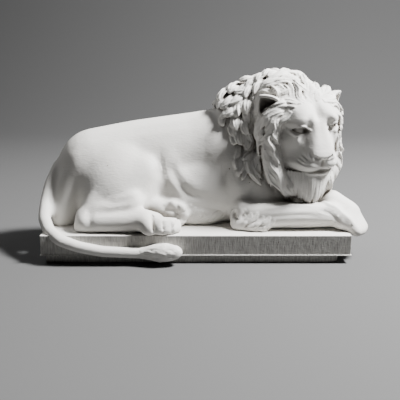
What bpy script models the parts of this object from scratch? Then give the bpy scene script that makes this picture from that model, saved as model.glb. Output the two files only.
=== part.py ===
"""A guardian lion lying on its plinth, cast in plaster as one piece.

The lion is built up the way a modeller builds it in clay: lumps for the masses
of the body, tapered limbs between the joints, then rows of locks laid over the
neck.  The lumps are fused into one skin, rubbed smooth, and joined to a crisp
plinth.  Lengths of the plinth are in metres.  The lion is described in carving
units, of which LION_UNITS make up its length from the curve of the tail to the
toes.  Its x runs along the plinth to the forepaws, y away from the viewer's
side, and z up from the plinth's top.
"""

import math

import bmesh
import bpy
import numpy as np
from mathutils import Euler, Matrix, Vector
from mathutils.bvhtree import BVHTree

# Driving sizes, in metres
LION_LENGTH = 0.330
PLINTH_LENGTH = 0.300
PLINTH_DEPTH = 0.125
PLINTH_HEIGHT = 0.028
BAND_HEIGHT = 0.0076
BAND_INSET_FRONT = 0.003
BAND_INSET_REAR = 0.003
BAND_INSET_TAIL_END = 0.004
BAND_INSET_PAW_END = 0.010
BAND_CORNER = 0.010
LEDGE_HEIGHT = 0.0012
LEDGE_PROUD = 0.0008

# The lion's own scale
LION_UNITS = 330.0
UNIT = LION_LENGTH / LION_UNITS
CORNER_X = 150.0
CORNER_Y = -62.5

# How finely the clay is worked, in carving units
BODY_GRAIN = 1.8
BODY_RUBS = 11
FACE_GRAIN = 1.0
SKIN_GRAIN = 1.35
BALL_DETAIL = 3
LION_FACES = 9300
PLAIN_FACTOR = 1.0
HAIR_SEED = 11

# Pose of the head: the point between the eyes, the turn to the viewer, the tilt
BROW = (115.4, -38.0, 99.0)
HEAD_TURN = 24.0
HEAD_TILT = 1.0

# How the face sits on the head: a small shift, and three small turns in degrees
FACE_SHIFT = (0.8, 1.8, 0.2)
FACE_SKEW = (2.0, 0.0, -2.0)

PLASTER_COLOUR = (0.80, 0.78, 0.74, 1.0)
PLASTER_ROUGHNESS = 0.75


def head_frame():
    """Axes of the head: x forward out of the face, y to the lion's left, z up."""
    turn = math.radians(HEAD_TURN)
    forward = (math.sin(turn), -math.cos(turn), 0.0)
    left = (math.cos(turn), math.sin(turn), 0.0)
    axes = Matrix((forward, left, (0.0, 0.0, 1.0))).transposed().to_4x4()
    tilt = Matrix.Rotation(math.radians(HEAD_TILT), 4, "X")
    return Matrix.Translation(BROW) @ axes @ tilt


HEAD = head_frame()
TO_HEAD = HEAD.inverted()
FACE = HEAD @ Matrix.LocRotScale(Vector(FACE_SHIFT), Euler([math.radians(angle) for angle in FACE_SKEW]),
                                 None)
BODY = Matrix.Identity(4)


def clear_scene():
    for item in list(bpy.data.objects):
        bpy.data.objects.remove(item)


class Clay:
    """A heap of lumps that is fused later."""

    def __init__(self, frame=BODY):
        self.heap = bmesh.new()
        self.frame = frame

    def add(self, piece):
        piece.transform(self.frame)
        mesh = bpy.data.meshes.new("lump")
        piece.to_mesh(mesh)
        piece.free()
        self.add_mesh(mesh)
        bpy.data.meshes.remove(mesh)

    def add_mesh(self, mesh):
        self.heap.from_mesh(mesh)

    def ball(self, centre, radii, turn=(0.0, 0.0, 0.0)):
        piece = bmesh.new()
        lump(piece, centre, radii, turn)
        self.add(piece)

    def limb(self, *beads):
        """Tapered lengths through beads, each a centre and its radius or radii."""
        for first, second in zip(beads, beads[1:]):
            piece = bmesh.new()
            lump(piece, *first)
            lump(piece, *second)
            hull = bmesh.ops.convex_hull(piece, input=piece.verts)
            inside = hull["geom_interior"] + hull["geom_unused"]
            loose = {item for item in inside if isinstance(item, bmesh.types.BMVert)}
            bmesh.ops.delete(piece, geom=list(loose), context="VERTS")
            self.add(piece)

    def mesh(self):
        mesh = bpy.data.meshes.new("clay")
        self.heap.to_mesh(mesh)
        self.heap.free()
        return mesh


def lump(piece, centre, radii, turn=(0.0, 0.0, 0.0)):
    if not hasattr(radii, "__len__"):
        radii = (radii, radii, radii)
    angles = Euler([math.radians(angle) for angle in turn])
    place = Matrix.LocRotScale(Vector(centre), angles, Vector(radii))
    bmesh.ops.create_icosphere(piece, subdivisions=BALL_DETAIL, radius=1.0, matrix=place)


def evaluated(mesh, set_up):
    """The mesh as the modifiers that set_up adds would leave it."""
    holder = bpy.data.objects.new("bench", mesh)
    bpy.context.scene.collection.objects.link(holder)
    set_up(holder.modifiers)
    graph = bpy.context.evaluated_depsgraph_get()
    result = bpy.data.meshes.new_from_object(holder.evaluated_get(graph))
    bpy.data.objects.remove(holder)
    return result


def knead(mesh, grain, rubs):
    """Fuses lumps into one closed skin, then rubs it smooth."""
    def set_up(modifiers):
        fuse = modifiers.new("fuse", "REMESH")
        fuse.mode = "VOXEL"
        fuse.voxel_size = grain
        rub = modifiers.new("rub", "SMOOTH")
        rub.iterations = rubs
    return evaluated(mesh, set_up)


def thin_out(mesh, faces, keep):
    """Fewer, larger faces, with more of them left where keep is near 1."""
    holder = bpy.data.objects.new("weights", mesh)
    group = holder.vertex_groups.new(name="plain")
    levels = np.round(10.0 - 9.0 * keep).astype(int)
    for level in range(1, 11):
        group.add(np.nonzero(levels == level)[0].tolist(), level / 10, "REPLACE")
    bpy.data.objects.remove(holder)

    def set_up(modifiers):
        thin = modifiers.new("thin", "DECIMATE")
        mesh.calc_loop_triangles()
        thin.ratio = faces / len(mesh.loop_triangles)
        thin.use_collapse_triangulate = True
        thin.vertex_group = "plain"
        thin.vertex_group_factor = PLAIN_FACTOR
    return evaluated(mesh, set_up)


def points_of(mesh):
    flat = np.empty(len(mesh.vertices) * 3, np.float32)
    mesh.vertices.foreach_get("co", flat)
    return flat.reshape(-1, 3).astype(float)


def normals_of(mesh):
    flat = np.empty(len(mesh.vertices) * 3, np.float32)
    mesh.vertex_normals.foreach_get("vector", flat)
    return flat.reshape(-1, 3).astype(float)


def move_points(mesh, points):
    mesh.vertices.foreach_set("co", points.astype(np.float32).ravel())
    mesh.update()


def in_frame(points, frame):
    matrix = np.array(frame)
    return points @ matrix[:3, :3].T + matrix[:3, 3]


def ease(low, high, value):
    """0 below low, 1 above high, and a soft step between them."""
    share = np.clip((value - low) / (high - low), 0.0, 1.0)
    return share * share * (3.0 - 2.0 * share)


def tree_of(mesh):
    corners = [vertex.co for vertex in mesh.vertices]
    return BVHTree.FromPolygons(corners, [face.vertices for face in mesh.polygons])


def distance_along(points, path):
    """Each point's distance from a path, and the share of the path it is at."""
    steps = np.diff(path, axis=0)
    lengths = np.linalg.norm(steps, axis=1)
    nearest = np.full(len(points), np.inf)
    share = np.zeros(len(points))
    run = 0.0
    for start, step, length in zip(path, steps, lengths):
        along = np.clip((points - start) @ step / length**2, 0.0, 1.0)
        gap = np.linalg.norm(points - start - along[:, None] * step, axis=1)
        closer = gap < nearest
        nearest[closer] = gap[closer]
        share[closer] = (run + along[closer] * length) / lengths.sum()
        run += length
    return nearest, share


def carve(mesh, strokes):
    """Draws a round tool along each path: a cut, or a ridge where depth is negative."""
    points = points_of(mesh)
    normals = normals_of(mesh)
    for path, width, depth in strokes:
        gap, share = distance_along(points, np.array(path, float))
        bite = np.clip(1.0 - (gap / width) ** 2, 0.0, 1.0) ** 2
        ends = np.clip(np.minimum(share, 1.0 - share) * 6.0 + 0.15, 0.0, 1.0)
        points -= normals * (depth * bite * ends)[:, None]
    move_points(mesh, points)


def on_face(tree, path):
    """A path of y and z in the head's axes, thrown straight onto the face."""
    found = []
    for y, z in path:
        met, _, _, _ = tree.ray_cast(Vector((200.0, y, z)), Vector((-1.0, 0.0, 0.0)))
        if met is not None:
            found.append(met)
    return found


# The body, near side first

HIP = (-80, -9, 43)
KNEE = (-53, -14, 48)
HOCK = (-110, -42, 14)
SHOULDER = (28, -1, 70)
ELBOW = (48, -29, 16)
WRIST = (134, -36, 14)
TAIL_RADIUS = 6.6


def trunk(clay):
    clay.limb(((-104, 8, 50), (42, 37, 44.5)), ((-60, 14, 50), (46, 36, 52.5)),
              ((0, 16, 57), (50, 35, 53.5)), ((24, 12, 64), (36, 32, 51)))
    clay.limb(((-30, 8, 34), (46, 34, 38)), ((20, 4, 34), (46, 36, 40)),
              ((50, 2, 38), (36, 34, 42)))
    clay.ball((0, -2, 36), (52, 24, 44), (-30, 0, 0))
    clay.ball((82, -2, 34), (28, 28, 34))
    clay.ball((-120, 4, 34), (27, 30, 34))
    clay.limb(((-120, -4, 44), (23, 20, 28)), ((-136, -17, 14), (13.5, 15, 18)))


def near_hind_leg(clay):
    clay.ball(HIP, (47, 31, 52), (-26, 0, 0))
    clay.limb((KNEE, (21, 24, 26)), ((-76, -26, 36), (28, 17, 16)))
    clay.limb(((-62, -38, 28), 12), ((-90, -40, 20), 11), (HOCK, 9.5))
    clay.limb(((-99, -33, 30), 11), ((-111, -43, 9), 8.5))
    clay.ball((-113, -46, 5), 8)
    clay.limb(((-108, -48, 9), 10), ((-66, -50, 10.5), 10.5), ((-50, -51, 12), 11.5))
    clay.ball((-44, -49, 9), (15, 11, 12))
    toes = (((-47, -57, 10.5), 9.4), ((-34.5, -57, 10.5), 7.6), ((-25.5, -54, 10), 6.8), ((-19.5, -48, 8.5), 6))
    for knuckle, radius in toes:
        tip = (knuckle[0] + 2, knuckle[1] - 3.4, radius - 2.5)
        clay.limb((knuckle, radius), (tip, radius - 1.2))


def far_hind_leg(clay):
    clay.limb(((-70, -6, 20), 12), ((-54, -24, 20), 9), ((-36, -29, 19), 9))
    clay.ball((-25, -31, 13), (14, 8, 14), (0, 30, 0))
    clay.ball((-27, -37, 16), (6, 4, 5))
    for pad in ((-23, -37, 25.5), (-14.5, -37, 22), (-10.5, -37, 14), (-14, -37, 6), (-23, -37, 3)):
        clay.ball(pad, 4.6)
    clay.ball((-84, 34, 34), (40, 18, 34))


def near_foreleg(clay):
    clay.limb((SHOULDER, (36, 20, 34)), ((42, -20, 40), (18, 15, 20)))
    clay.ball(ELBOW, (14, 14, 16))
    clay.limb(((44, -36, 6), (10, 11, 8)), ((64, -43, 5), (12, 9, 6)))
    clay.limb(((58, -34, 14), 13.5), ((76, -37, 14), 13.5), ((106, -37, 13.5), 13),
              (WRIST, 12.5))
    clay.ball((146, -40, 9), (13, 13, 10))
    clay.limb(((62, -14, 50), (16, 16, 24)), ((66, -24, 28), (14, 12, 14)))


def far_foreleg(clay):
    clay.limb(((60, 32, 30), 22), ((66, 34, 16), 16), ((110, 16, 18), 14),
              ((132, -8, 20), 14), ((140, -16, 22), 12))
    clay.limb(((138, -15, 22), 12.5), ((152, -28, 14), (14, 15, 12)))
    toes = (((150, -40, 9), (157, -53, 1)), ((155, -36, 11), (163, -47, 1)),
            ((158, -30, 12), (167, -38, 1)), ((158, -24, 12), (168, -29, 1)))
    for knuckle, tip in toes:
        clay.limb((knuckle, 8), (tip, 6))


def tail(clay):
    """Round the rump, over the plinth's edge and along its front face."""
    drop = 0.57 * PLINTH_HEIGHT / UNIT
    front = CORNER_Y - 4.5
    route = ((-132, 6, 66), (-142, 0, 56), (-149, -10, 40), (-152, -22, 23),
             (-151, -38, 10), (-143, -53, 2), (-130, front + 2, -0.25 * drop),
             (-112, front, -0.62 * drop), (-90, front, -0.9 * drop),
             (-60, front, -drop), (-42, front, -drop))
    last = len(route) - 1
    clay.limb(*((place, TAIL_RADIUS * (1.12 - 0.28 * i / last))
                for i, place in enumerate(route)))
    clay.limb(((-50, front, -drop), 5.4), ((-31, front - 1.5, 1 - drop), (12, 7.4, 8.6)),
              ((-20, front - 1.5, 1 - drop), (7, 6, 6.4)))


def neck(clay):
    clay.limb(((40, 11, 80), (28, 29, 54)), ((72, 7, 99), (27, 22, 50)),
              ((94, 0, 104), (25, 28, 45)))


# The face, as a net of depths in the head's axes

NET_ACROSS = (0, 3, 6, 9, 12, 15, 18, 21, 24, 28, 32, 36)
NET = (
    # height, then how far forward the skin lies at each distance across
    (34, (-17, -17, -17, -17.2, -17.8, -19, -20.6, -22.6, -25, -29.6, -36, -43)),
    (30, (-12.4, -12.4, -12, -12.0, -12.6, -13.8, -15.2, -17.2, -20, -24.6, -31, -38)),
    (26, (-9.4, -9.0, -8.0, -7.8, -8.2, -9.2, -10.6, -12.4, -15.2, -20.2, -26.6, -34)),
    (20, (-5.8, -4.8, -2.8, -2.0, -2.0, -2.8, -4.4, -6.4, -9.4, -15.0, -21.5, -29)),
    (15, (-3.4, -2.0, 0.2, 1.4, 1.8, 1.4, 0.0, -2.6, -6.2, -12.0, -18.5, -26)),
    (11, (-1.0, 0.2, 1.6, 2.2, 2.8, 3.4, 2.8, 0.4, -3.4, -9.2, -15.6, -24)),
    (8, (1.6, 2.2, 2.4, 1.6, 1.6, 2.8, 3.0, 1.4, -1.8, -7.4, -14.2, -23.2)),
    (5, (3.2, 3.4, 2.8, 0.0, -1.8, 1.2, 1.6, 0.4, -2.8, -8.6, -15.0, -23.5)),
    (3, (4.0, 4.2, 3.4, 0.2, -3.2, 0.2, 0.8, -1.0, -5.0, -11.0, -16.4, -23.5)),
    (-1, (5.4, 5.4, 4.8, 1.8, -3.6, -2.4, -1.6, -2.4, -5.2, -11.2, -16.2, -23.5)),
    (-4, (6.4, 6.4, 6.0, 3.6, -1.6, -2.2, -1.8, -1.6, -3.6, -9.4, -15.4, -23.5)),
    (-8, (7.8, 7.8, 7.4, 5.8, 2.2, -1.0, -1.8, -2.0, -3.6, -8.8, -15.0, -23.5)),
    (-13, (9.6, 9.6, 9.2, 8.1, 5.6, 1.6, -1.2, -2.8, -5.2, -10.4, -16.4, -24)),
    (-18, (11.2, 11.1, 10.7, 9.7, 7.6, 3.8, -0.4, -4.2, -8.0, -12.8, -17.8, -24.6)),
    (-22, (12.4, 12.3, 11.9, 10.9, 9.0, 5.6, 1.0, -3.8, -8.4, -13.4, -18.4, -25.4)),
    (-26.5, (12.4, 12.3, 12.0, 11.4, 9.8, 7.2, 3.4, -1.8, -7.6, -13.8, -19, -26)),
    (-29.5, (8.6, 9.2, 9.6, 9.6, 9.4, 8.0, 5.2, 0.4, -5.8, -13.4, -19.6, -26.4)),
    (-33, (7.0, 8.6, 9.8, 10.2, 10.0, 8.8, 6.2, 1.6, -4.8, -13.4, -20.4, -27)),
    (-36.5, (5.8, 7.4, 8.8, 9.0, 8.6, 7.0, 4.2, -0.8, -7.2, -15.8, -22, -28)),
    (-38.4, (3.2, 4.8, 6.0, 6.2, 5.4, 3.6, 0.6, -4.2, -10.2, -17.6, -23, -29)),
    (-40, (-1.4, -0.8, -0.2, -0.4, -1.4, -3.2, -5.8, -9.4, -13.4, -19.2, -24.5, -30.5)),
    (-42.2, (4.4, 4.4, 4.0, 3.0, 1.4, -1.2, -4.4, -8.6, -13.4, -20.4, -26, -32)),
    (-47, (0.6, 0.6, 0.2, -0.8, -2.4, -4.8, -8, -12, -17, -23, -29, -35)),
    (-52, (-6.0, -6.0, -6.4, -7.4, -9.0, -11, -14, -18, -22, -28, -34, -40)),
)
NET_STEP = 1.0
NET_BACK = -40.0
NET_WIDTH = 33.0
NET_MIDDLE = -6.0
NET_REACH = 50.0
MOUTH_LIFT = 7.0


def through(places, values, wanted):
    """A smooth curve through values at places, read at the wanted places."""
    places = np.array(places, float)
    values = np.array(values, float)
    slopes = np.gradient(values, places, axis=0)
    first = np.clip(np.searchsorted(places, wanted, side="right") - 1, 0, len(places) - 2)
    length = places[first + 1] - places[first]
    t = (wanted - places[first]) / length
    if values.ndim > 1:
        t, length = t[:, None], length[:, None]
    return ((1 + 2 * t) * (1 - t) ** 2 * values[first] + t * (1 - t) ** 2 * length * slopes[first]
            + t**2 * (3 - 2 * t) * values[first + 1]
            + t**2 * (t - 1) * length * slopes[first + 1])


def face_net():
    heights = np.arange(NET[-1][0], NET[0][0], NET_STEP)
    across = np.linspace(-1.0, 1.0, int(2 * NET_WIDTH / NET_STEP))
    rows = NET[::-1]
    mirrored = [-y for y in NET_ACROSS[:0:-1]] + list(NET_ACROSS)
    table = [list(row[:0:-1]) + list(row) for _, row in rows]
    ahead = through([height for height, _ in rows], table, heights)
    widths = NET_WIDTH * np.sqrt(1.0 - ((heights - NET_MIDDLE) / NET_REACH) ** 4)
    y = widths[:, None] * across
    z = np.repeat(heights[:, None], len(across), axis=1)
    ahead = np.array([through(mirrored, row, at) for row, at in zip(ahead, y)])
    z = z + MOUTH_LIFT * (y / 28.0) ** 2 * ease(-20.0, -36.0, z) * ease(38.0, 28.0, np.abs(y))
    front = np.stack((ahead, y, z), axis=-1)
    back = front.copy()
    back *= (0.0, 0.6, 0.6)
    back[..., 0] = NET_BACK
    rows, columns = ahead.shape
    size = rows * columns
    number = np.arange(size).reshape(rows, columns)
    quads = [number[:-1, :-1], number[:-1, 1:], number[1:, 1:], number[1:, :-1]]
    quads = np.stack(quads, axis=-1).reshape(-1, 4)
    rim = np.concatenate((number[0], number[1:, -1], number[-1, -2::-1], number[-2:0:-1, 0]))
    wall = np.stack((np.roll(rim, -1), rim, rim + size, np.roll(rim, -1) + size), axis=-1)
    mesh = bpy.data.meshes.new("face_net")
    points = np.concatenate((front.reshape(-1, 3), back.reshape(-1, 3)))
    mesh.from_pydata(points.tolist(), [], np.concatenate((quads, quads[:, ::-1] + size, wall)).tolist())
    return mesh


EYE = (17.4, 0.4)
EYE_HALF = (7.4, 3.1)
EYE_SLANT = 1.2
EYE_DEPTH = 5.6
EYEBALL = 6.8


def open_eyes(mesh):
    """Cuts each eye's almond into the skin, with a thin lid raised round it."""
    points = points_of(mesh)
    share = (np.abs(points[:, 1]) - EYE[0]) / EYE_HALF[0]
    middle = EYE[1] + EYE_SLANT * share
    half = EYE_HALF[1] * np.clip(1.0 - share**2, 0.0, 1.0) ** 0.7
    inward = half - np.abs(points[:, 2] - middle)
    front = (points[:, 0] > -14) & (np.abs(share) < 1.3)
    lid = np.exp(-(((inward + 1.0) / 0.9) ** 2)) * ease(1.3, 0.9, np.abs(share))
    points[:, 0] += front * ((0.6 + 1.2 * (points[:, 2] > middle)) * lid - EYE_DEPTH * ease(0.0, 0.9, inward))
    move_points(mesh, points)


def eyeballs(clay):
    for side in (1, -1):
        clay.ball((-3.2 - EYEBALL, side * (EYE[0] - 0.4), EYE[1]), EYEBALL)


def face_lines(tree):
    """Narrow strokes, drawn from the front: path, width, depth."""
    drawn = [(((0, -28), (0, -31), (0, -36)), 1.8, 1.6)]
    for side in (1, -1):
        half = [
            # lower lid, nostril, its wing, and three whisker grooves
            (((26.5, 4.5), (25.4, 0.4), (22.4, -3.2), (18, -5.0), (13, -5.0)), 3.0, -1.9),
            (((3.6, -27.4), (7.4, -26.8), (10.6, -24.4)), 2.4, 3.4),
            (((12.4, -18.5), (13.4, -22), (12.0, -25.4)), 2.4, 1.0),
        ]
        for fold in range(3):
            half.append((((18.5 + 1.8 * fold, -22 - 2.6 * fold), (15.6 + 2.0 * fold, -27 - 2.0 * fold),
                          (11.4 + 1.0 * fold, -31.0 - 1.4 * fold)), 1.7, 0.8))
        drawn += [([(y * side, z) for y, z in path], width, depth) for path, width, depth in half]
    return [(on_face(tree, path), width, depth) for path, width, depth in drawn]


def face():
    skin = knead(face_net(), FACE_GRAIN, 4)
    open_eyes(skin)
    carve(skin, face_lines(tree_of(skin)))
    clay = Clay()
    eyeballs(clay)
    clay.add_mesh(skin)
    skin = clay.mesh()
    skin.transform(FACE)
    return skin


def ruff(clay):
    """The thick collar of hair that frames the face."""
    clay.ball((-45, -6, 18), (29, 34, 32.5))
    clay.ball((-28, 0, 22), (16, 27, 19))
    for side in (1, -1):
        clay.ball((-34, 28 * side, 17), (14, 13, 14))
        clay.limb(((-30, 32 * side, 4), 11), ((-27, 34 * side, -18), 11),
                  ((-23, 31 * side, -42), 10.5), ((-17, 20 * side, -56), 8))
    clay.limb(((-12, 0, -46), (11, 18, 9)), ((-12, 0, -60), (7, 13, 9)))


def temples(clay):
    """A roll of hair from the corner of the forehead down over the ear's front."""
    for side in (1, -1):
        clay.limb(((-20, 27 * side, 22), 4.5), ((-21, 31 * side, 16), 6.5), ((-25, 36 * side, 8), 9),
                  ((-29, 39 * side, -3), 9))


EAR_ROOT = (-24.5, 38.0, 20.5)
EAR_RADII = (16.0, 12.5, 13.0)
EAR_WALL = 2.8
EAR_TURN = (-36.0, 6.0, 44.0)


def ear_frame(side):
    turn = Euler((math.radians(EAR_TURN[0] * side), math.radians(EAR_TURN[1]),
                  math.radians(EAR_TURN[2] * side)))
    return HEAD @ Matrix.LocRotScale(Vector((EAR_ROOT[0], EAR_ROOT[1] * side, EAR_ROOT[2])), turn, None)


def ear(clay, side):
    """Half an egg, hollowed, with its rim drawn up to a blunt point."""
    piece = bmesh.new()
    bmesh.ops.create_uvsphere(piece, u_segments=24, v_segments=16, radius=1.0)
    everything = piece.verts[:] + piece.edges[:] + piece.faces[:]
    bmesh.ops.bisect_plane(piece, geom=everything, plane_co=(0.05, 0, 0), plane_no=(1, 0, 0),
                           clear_outer=True)
    bmesh.ops.scale(piece, vec=EAR_RADII, verts=piece.verts)
    for vert in piece.verts:
        rise = max(0.0, vert.co.z / EAR_RADII[2])
        vert.co.y *= 1.0 - 0.42 * rise**2
        vert.co.z += 2.5 * rise**2
        vert.co.x += 3.0 * rise**2
    bmesh.ops.recalc_face_normals(piece, faces=piece.faces)
    bmesh.ops.solidify(piece, geom=piece.faces, thickness=EAR_WALL)
    piece.transform(ear_frame(side))
    clay.add(piece)


def hollow_ear(mesh, side):
    """Pushes the skin that fills the ear down to the ear's inner wall."""
    frame = ear_frame(side)
    points = in_frame(points_of(mesh), frame.inverted()) / np.array(EAR_RADII)
    across = points[:, 1] ** 2 + points[:, 2] ** 2
    floor = -np.sqrt(np.clip(1.0 - across, 0.0, 1.0))
    inside = (across < 1.0) & (points[:, 0] > floor) & (points[:, 0] < 1.6)
    points[inside, 0] = floor[inside]
    move_points(mesh, in_frame(points * np.array(EAR_RADII), frame))


# The mane

def lock_width(share):
    """Width along a lock: a narrow root, a full middle and a pointed tip."""
    return min(1.0, 0.55 + 1.6 * share) * (1.0 - share**2.6) ** 0.8 + 0.04


def hair_flow(place, normal):
    """Which way the hair lies: away from the face, else back and down the neck."""
    spot = TO_HEAD @ place
    collar = ease(-58, -36, spot.x)
    reach = math.hypot(spot.y, spot.z + 6) + 1e-6
    crown = ease(4, 30, spot.z)
    framing = Vector((-0.2 - 1.1 * crown, (0.5 + 0.3 * crown) * spot.y / reach,
                      0.5 * crown * (spot.z + 6) / reach - 1.1 * (1.0 - crown)))
    framing = (HEAD.to_3x3() @ framing).normalized()
    upward = ease(0.3, 0.85, normal.z)
    falling = Vector((-0.45, 0, -1)).lerp(Vector((-1, -0.25, -0.3)), upward).normalized()
    falling = falling.lerp(Vector((0.2, 0, -1)), ease(70, 25, place.z) if place.z < 70 else 0.0)
    return framing * collar + falling * (1.0 - collar)


def straight_down(place, normal):
    return Vector((0, 0, -1))


class Hair:
    """Strands laid over a skin, kept as the splines of one round-section curve."""

    def __init__(self, skin):
        corners = [vertex.co for vertex in skin.vertices]
        self.skin = BVHTree.FromPolygons(corners, [face.vertices for face in skin.polygons])
        self.curve = bpy.data.curves.new("hair", "CURVE")
        self.curve.dimensions = "3D"
        self.curve.bevel_depth = 1.0
        self.curve.bevel_resolution = 1
        self.curve.use_fill_caps = True
        self.chance = np.random.default_rng(HAIR_SEED)

    def strand(self, places, radii):
        spline = self.curve.splines.new("POLY")
        spline.points.add(len(places) - 1)
        for point, place, radius in zip(spline.points, places, radii):
            point.co = (*place, 1.0)
            point.radius = radius

    def walk(self, root, flow, length, curl, steps):
        """Steps over the skin along the flow, turning as a curl does."""
        place, normal, _, _ = self.skin.find_nearest(Vector(root))
        for step in range(steps):
            share = step / (steps - 1)
            ahead = Vector(flow(place, normal))
            ahead -= normal * ahead.dot(normal)
            ahead.normalize()
            ahead.rotate(Matrix.Rotation(curl * (1.5 * share - 0.55), 3, normal).to_quaternion())
            yield place, normal, normal.cross(ahead).normalized(), share
            place, met, _, _ = self.skin.find_nearest(place + ahead * length / (steps - 1))
            normal = (normal * 0.4 + met * 0.6).normalized()

    def lock(self, root, flow, length, width, thickness, curl, strands, steps=10):
        """A lock that rises from its root, so that its tip laps over the next one."""
        path = list(self.walk(root, flow, length, curl, steps))
        for number in range(strands):
            offset = 2.0 * number / (strands - 1) - 1.0
            reach = self.chance.uniform(0.82, 1.0)
            lift = self.chance.uniform(-0.1, 0.2)
            places = []
            radii = []
            for place, normal, across, share in path:
                share = min(share / reach, 1.0)
                girth = lock_width(share)
                rise = 0.15 + 0.9 * ease(0.0, 0.6, share) - 0.25 * share**3
                rise += lift * math.sin(math.pi * share) - 0.22 * offset**2
                places.append(place + across * (0.36 * offset * width * girth)
                              + normal * (thickness * rise))
                radii.append(max(0.4, 0.66 * width / strands * girth))
            self.strand(places, radii)

    def mesh(self):
        holder = bpy.data.objects.new("hair", self.curve)
        bpy.context.scene.collection.objects.link(holder)
        graph = bpy.context.evaluated_depsgraph_get()
        mesh = bpy.data.meshes.new_from_object(holder.evaluated_get(graph))
        bpy.data.objects.remove(holder)
        return mesh


def hairy(points):
    """Where locks may take root."""
    spots = in_frame(points, TO_HEAD)
    behind = points[:, 0] > 29.0 + 0.29 * (118.0 - points[:, 2])
    bare = (spots[:, 1] / 29.0) ** 2 + ((spots[:, 2] + 9.0) / 36.0) ** 2 < 1.0
    bare &= spots[:, 0] > -32.0
    for side in (1, -1):
        root = np.array((EAR_ROOT[0] + 3, EAR_ROOT[1] * side, EAR_ROOT[2]))
        bare |= np.linalg.norm(spots - root, axis=1) < 14.0
    return behind & ~bare & (points[:, 2] > MANE_FOOT)


def scatter(points, allowed, gaps, chance):
    """Picks points in random order that keep their gaps from those picked before."""
    picked = []
    kept = np.empty((0, 3))
    for index in chance.permutation(np.nonzero(allowed)[0]):
        if len(picked) and np.min(np.sum((kept - points[index]) ** 2, axis=1)) < gaps[index] ** 2:
            continue
        picked.append(index)
        kept = np.vstack((kept, points[index]))
    return picked


MANE_FOOT = 60.0
LOCK_GAP = 10.5
LOCK_WIDTH = 13.0
LOCK_LENGTH = 26.0
LOCK_THICKNESS = 4.4


def mane(skin):
    hair = Hair(skin)
    chance = hair.chance
    points = points_of(skin)
    spots = in_frame(points, TO_HEAD)
    collar = ease(-58.0, -40.0, spots[:, 0])
    crown = ease(0.0, 22.0, spots[:, 2])
    for index in scatter(points, hairy(points), LOCK_GAP * (1.0 - 0.25 * collar), chance):
        near = collar[index]
        length = LOCK_LENGTH + 12.0 * near * (1.0 - crown[index])
        curl = chance.choice((-1, 1)) * chance.uniform(0.5, 1.1) * (1.0 - 0.55 * near)
        hair.lock(points[index], hair_flow, length * chance.uniform(0.85, 1.15),
                  LOCK_WIDTH * (1.0 - 0.35 * near), LOCK_THICKNESS * (1.0 - 0.3 * near),
                  curl, 3 if near < 0.5 else 2)
    frame_face(hair)
    beard(hair)
    return hair.mesh()


def frame_face(hair, rows=13):
    """Locks set all round the face, long beside the cheeks."""
    for side in (1, -1):
        for row in range(rows):
            angle = math.radians(-62 + 125 * row / (rows - 1))
            height = -9 + 35.5 * math.sin(angle)
            root = HEAD @ Vector((-14 - 8 * math.cos(angle), 28.5 * side * math.cos(angle), height))
            length = 20 + 26 * ease(16, -4, height) if height < 16 else 20
            curl = 0.35 * hair.chance.choice((-1, 1))
            hair.lock(root, hair_flow, length, 8.5, 3.6, curl, 2)


def beard(hair, rows=10, half_width=21.0):
    for row in range(rows):
        across = half_width * (2.0 * row / (rows - 1) - 1.0)
        root = HEAD @ Vector((-3 - 0.35 * abs(across), across, -45 + 0.15 * abs(across)))
        length = (30 - 0.25 * abs(across)) * hair.chance.uniform(0.9, 1.12)
        hair.lock(root, straight_down, length, 5.6, 2.8, 0.25 * hair.chance.choice((-1, 1)), 2)


def lion():
    """The whole animal in carving units, its feet and belly sunk into the plinth."""
    clay = Clay()
    for shape in (trunk, near_hind_leg, far_hind_leg, near_foreleg, far_foreleg, tail, neck):
        shape(clay)
    body = knead(clay.mesh(), BODY_GRAIN, BODY_RUBS)
    clay = Clay(HEAD)
    ruff(clay)
    clay.add_mesh(body)
    skin = knead(clay.mesh(), BODY_GRAIN, 4)
    for side in (1, -1):
        hollow_ear(skin, side)
    clay = Clay(HEAD)
    temples(clay)
    clay.add_mesh(skin)
    skin = knead(clay.mesh(), BODY_GRAIN, 1)
    clay = Clay()
    clay.add_mesh(skin)
    clay.add_mesh(mane(skin))
    clay.add_mesh(face())
    for side in (1, -1):
        ear(clay, side)
    return knead(clay.mesh(), SKIN_GRAIN, 1)


def likeness(mesh):
    """Where the eye looks longest: the face first, then the ears and the mane."""
    points = points_of(mesh)
    spots = in_frame(points, TO_HEAD)
    front = ease(-34.0, -14.0, spots[:, 0]) * ease(-60.0, -44.0, spots[:, 2])
    maned = ease(26.0, 40.0, points[:, 0]) * ease(40.0, 60.0, points[:, 2])
    return np.maximum(front, 0.4 * maned)


# The plinth

def slab(piece, low, high, corner=0.0):
    """A box between two corners, its upright edges at the paw end cut back by corner."""
    made = bmesh.ops.create_cube(piece, size=1.0)
    size = Vector(high) - Vector(low)
    centre = (Vector(high) + Vector(low)) / 2
    bmesh.ops.scale(piece, vec=size, verts=made["verts"])
    bmesh.ops.translate(piece, vec=centre, verts=made["verts"])
    if corner:
        edges = [edge for edge in piece.edges if is_upright_at(edge, high[0])]
        bmesh.ops.bevel(piece, geom=edges, offset=corner, segments=4, profile=0.5,
                        affect="EDGES", material=-1)


def is_upright_at(edge, x):
    first, second = edge.verts
    upright = abs(first.co.x - second.co.x) + abs(first.co.y - second.co.y) < 1e-6
    return upright and abs(first.co.x - x) < 1e-6


def object_from(piece, name):
    mesh = bpy.data.meshes.new(name)
    piece.to_mesh(mesh)
    piece.free()
    item = bpy.data.objects.new(name, mesh)
    bpy.context.scene.collection.objects.link(item)
    return item


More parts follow.
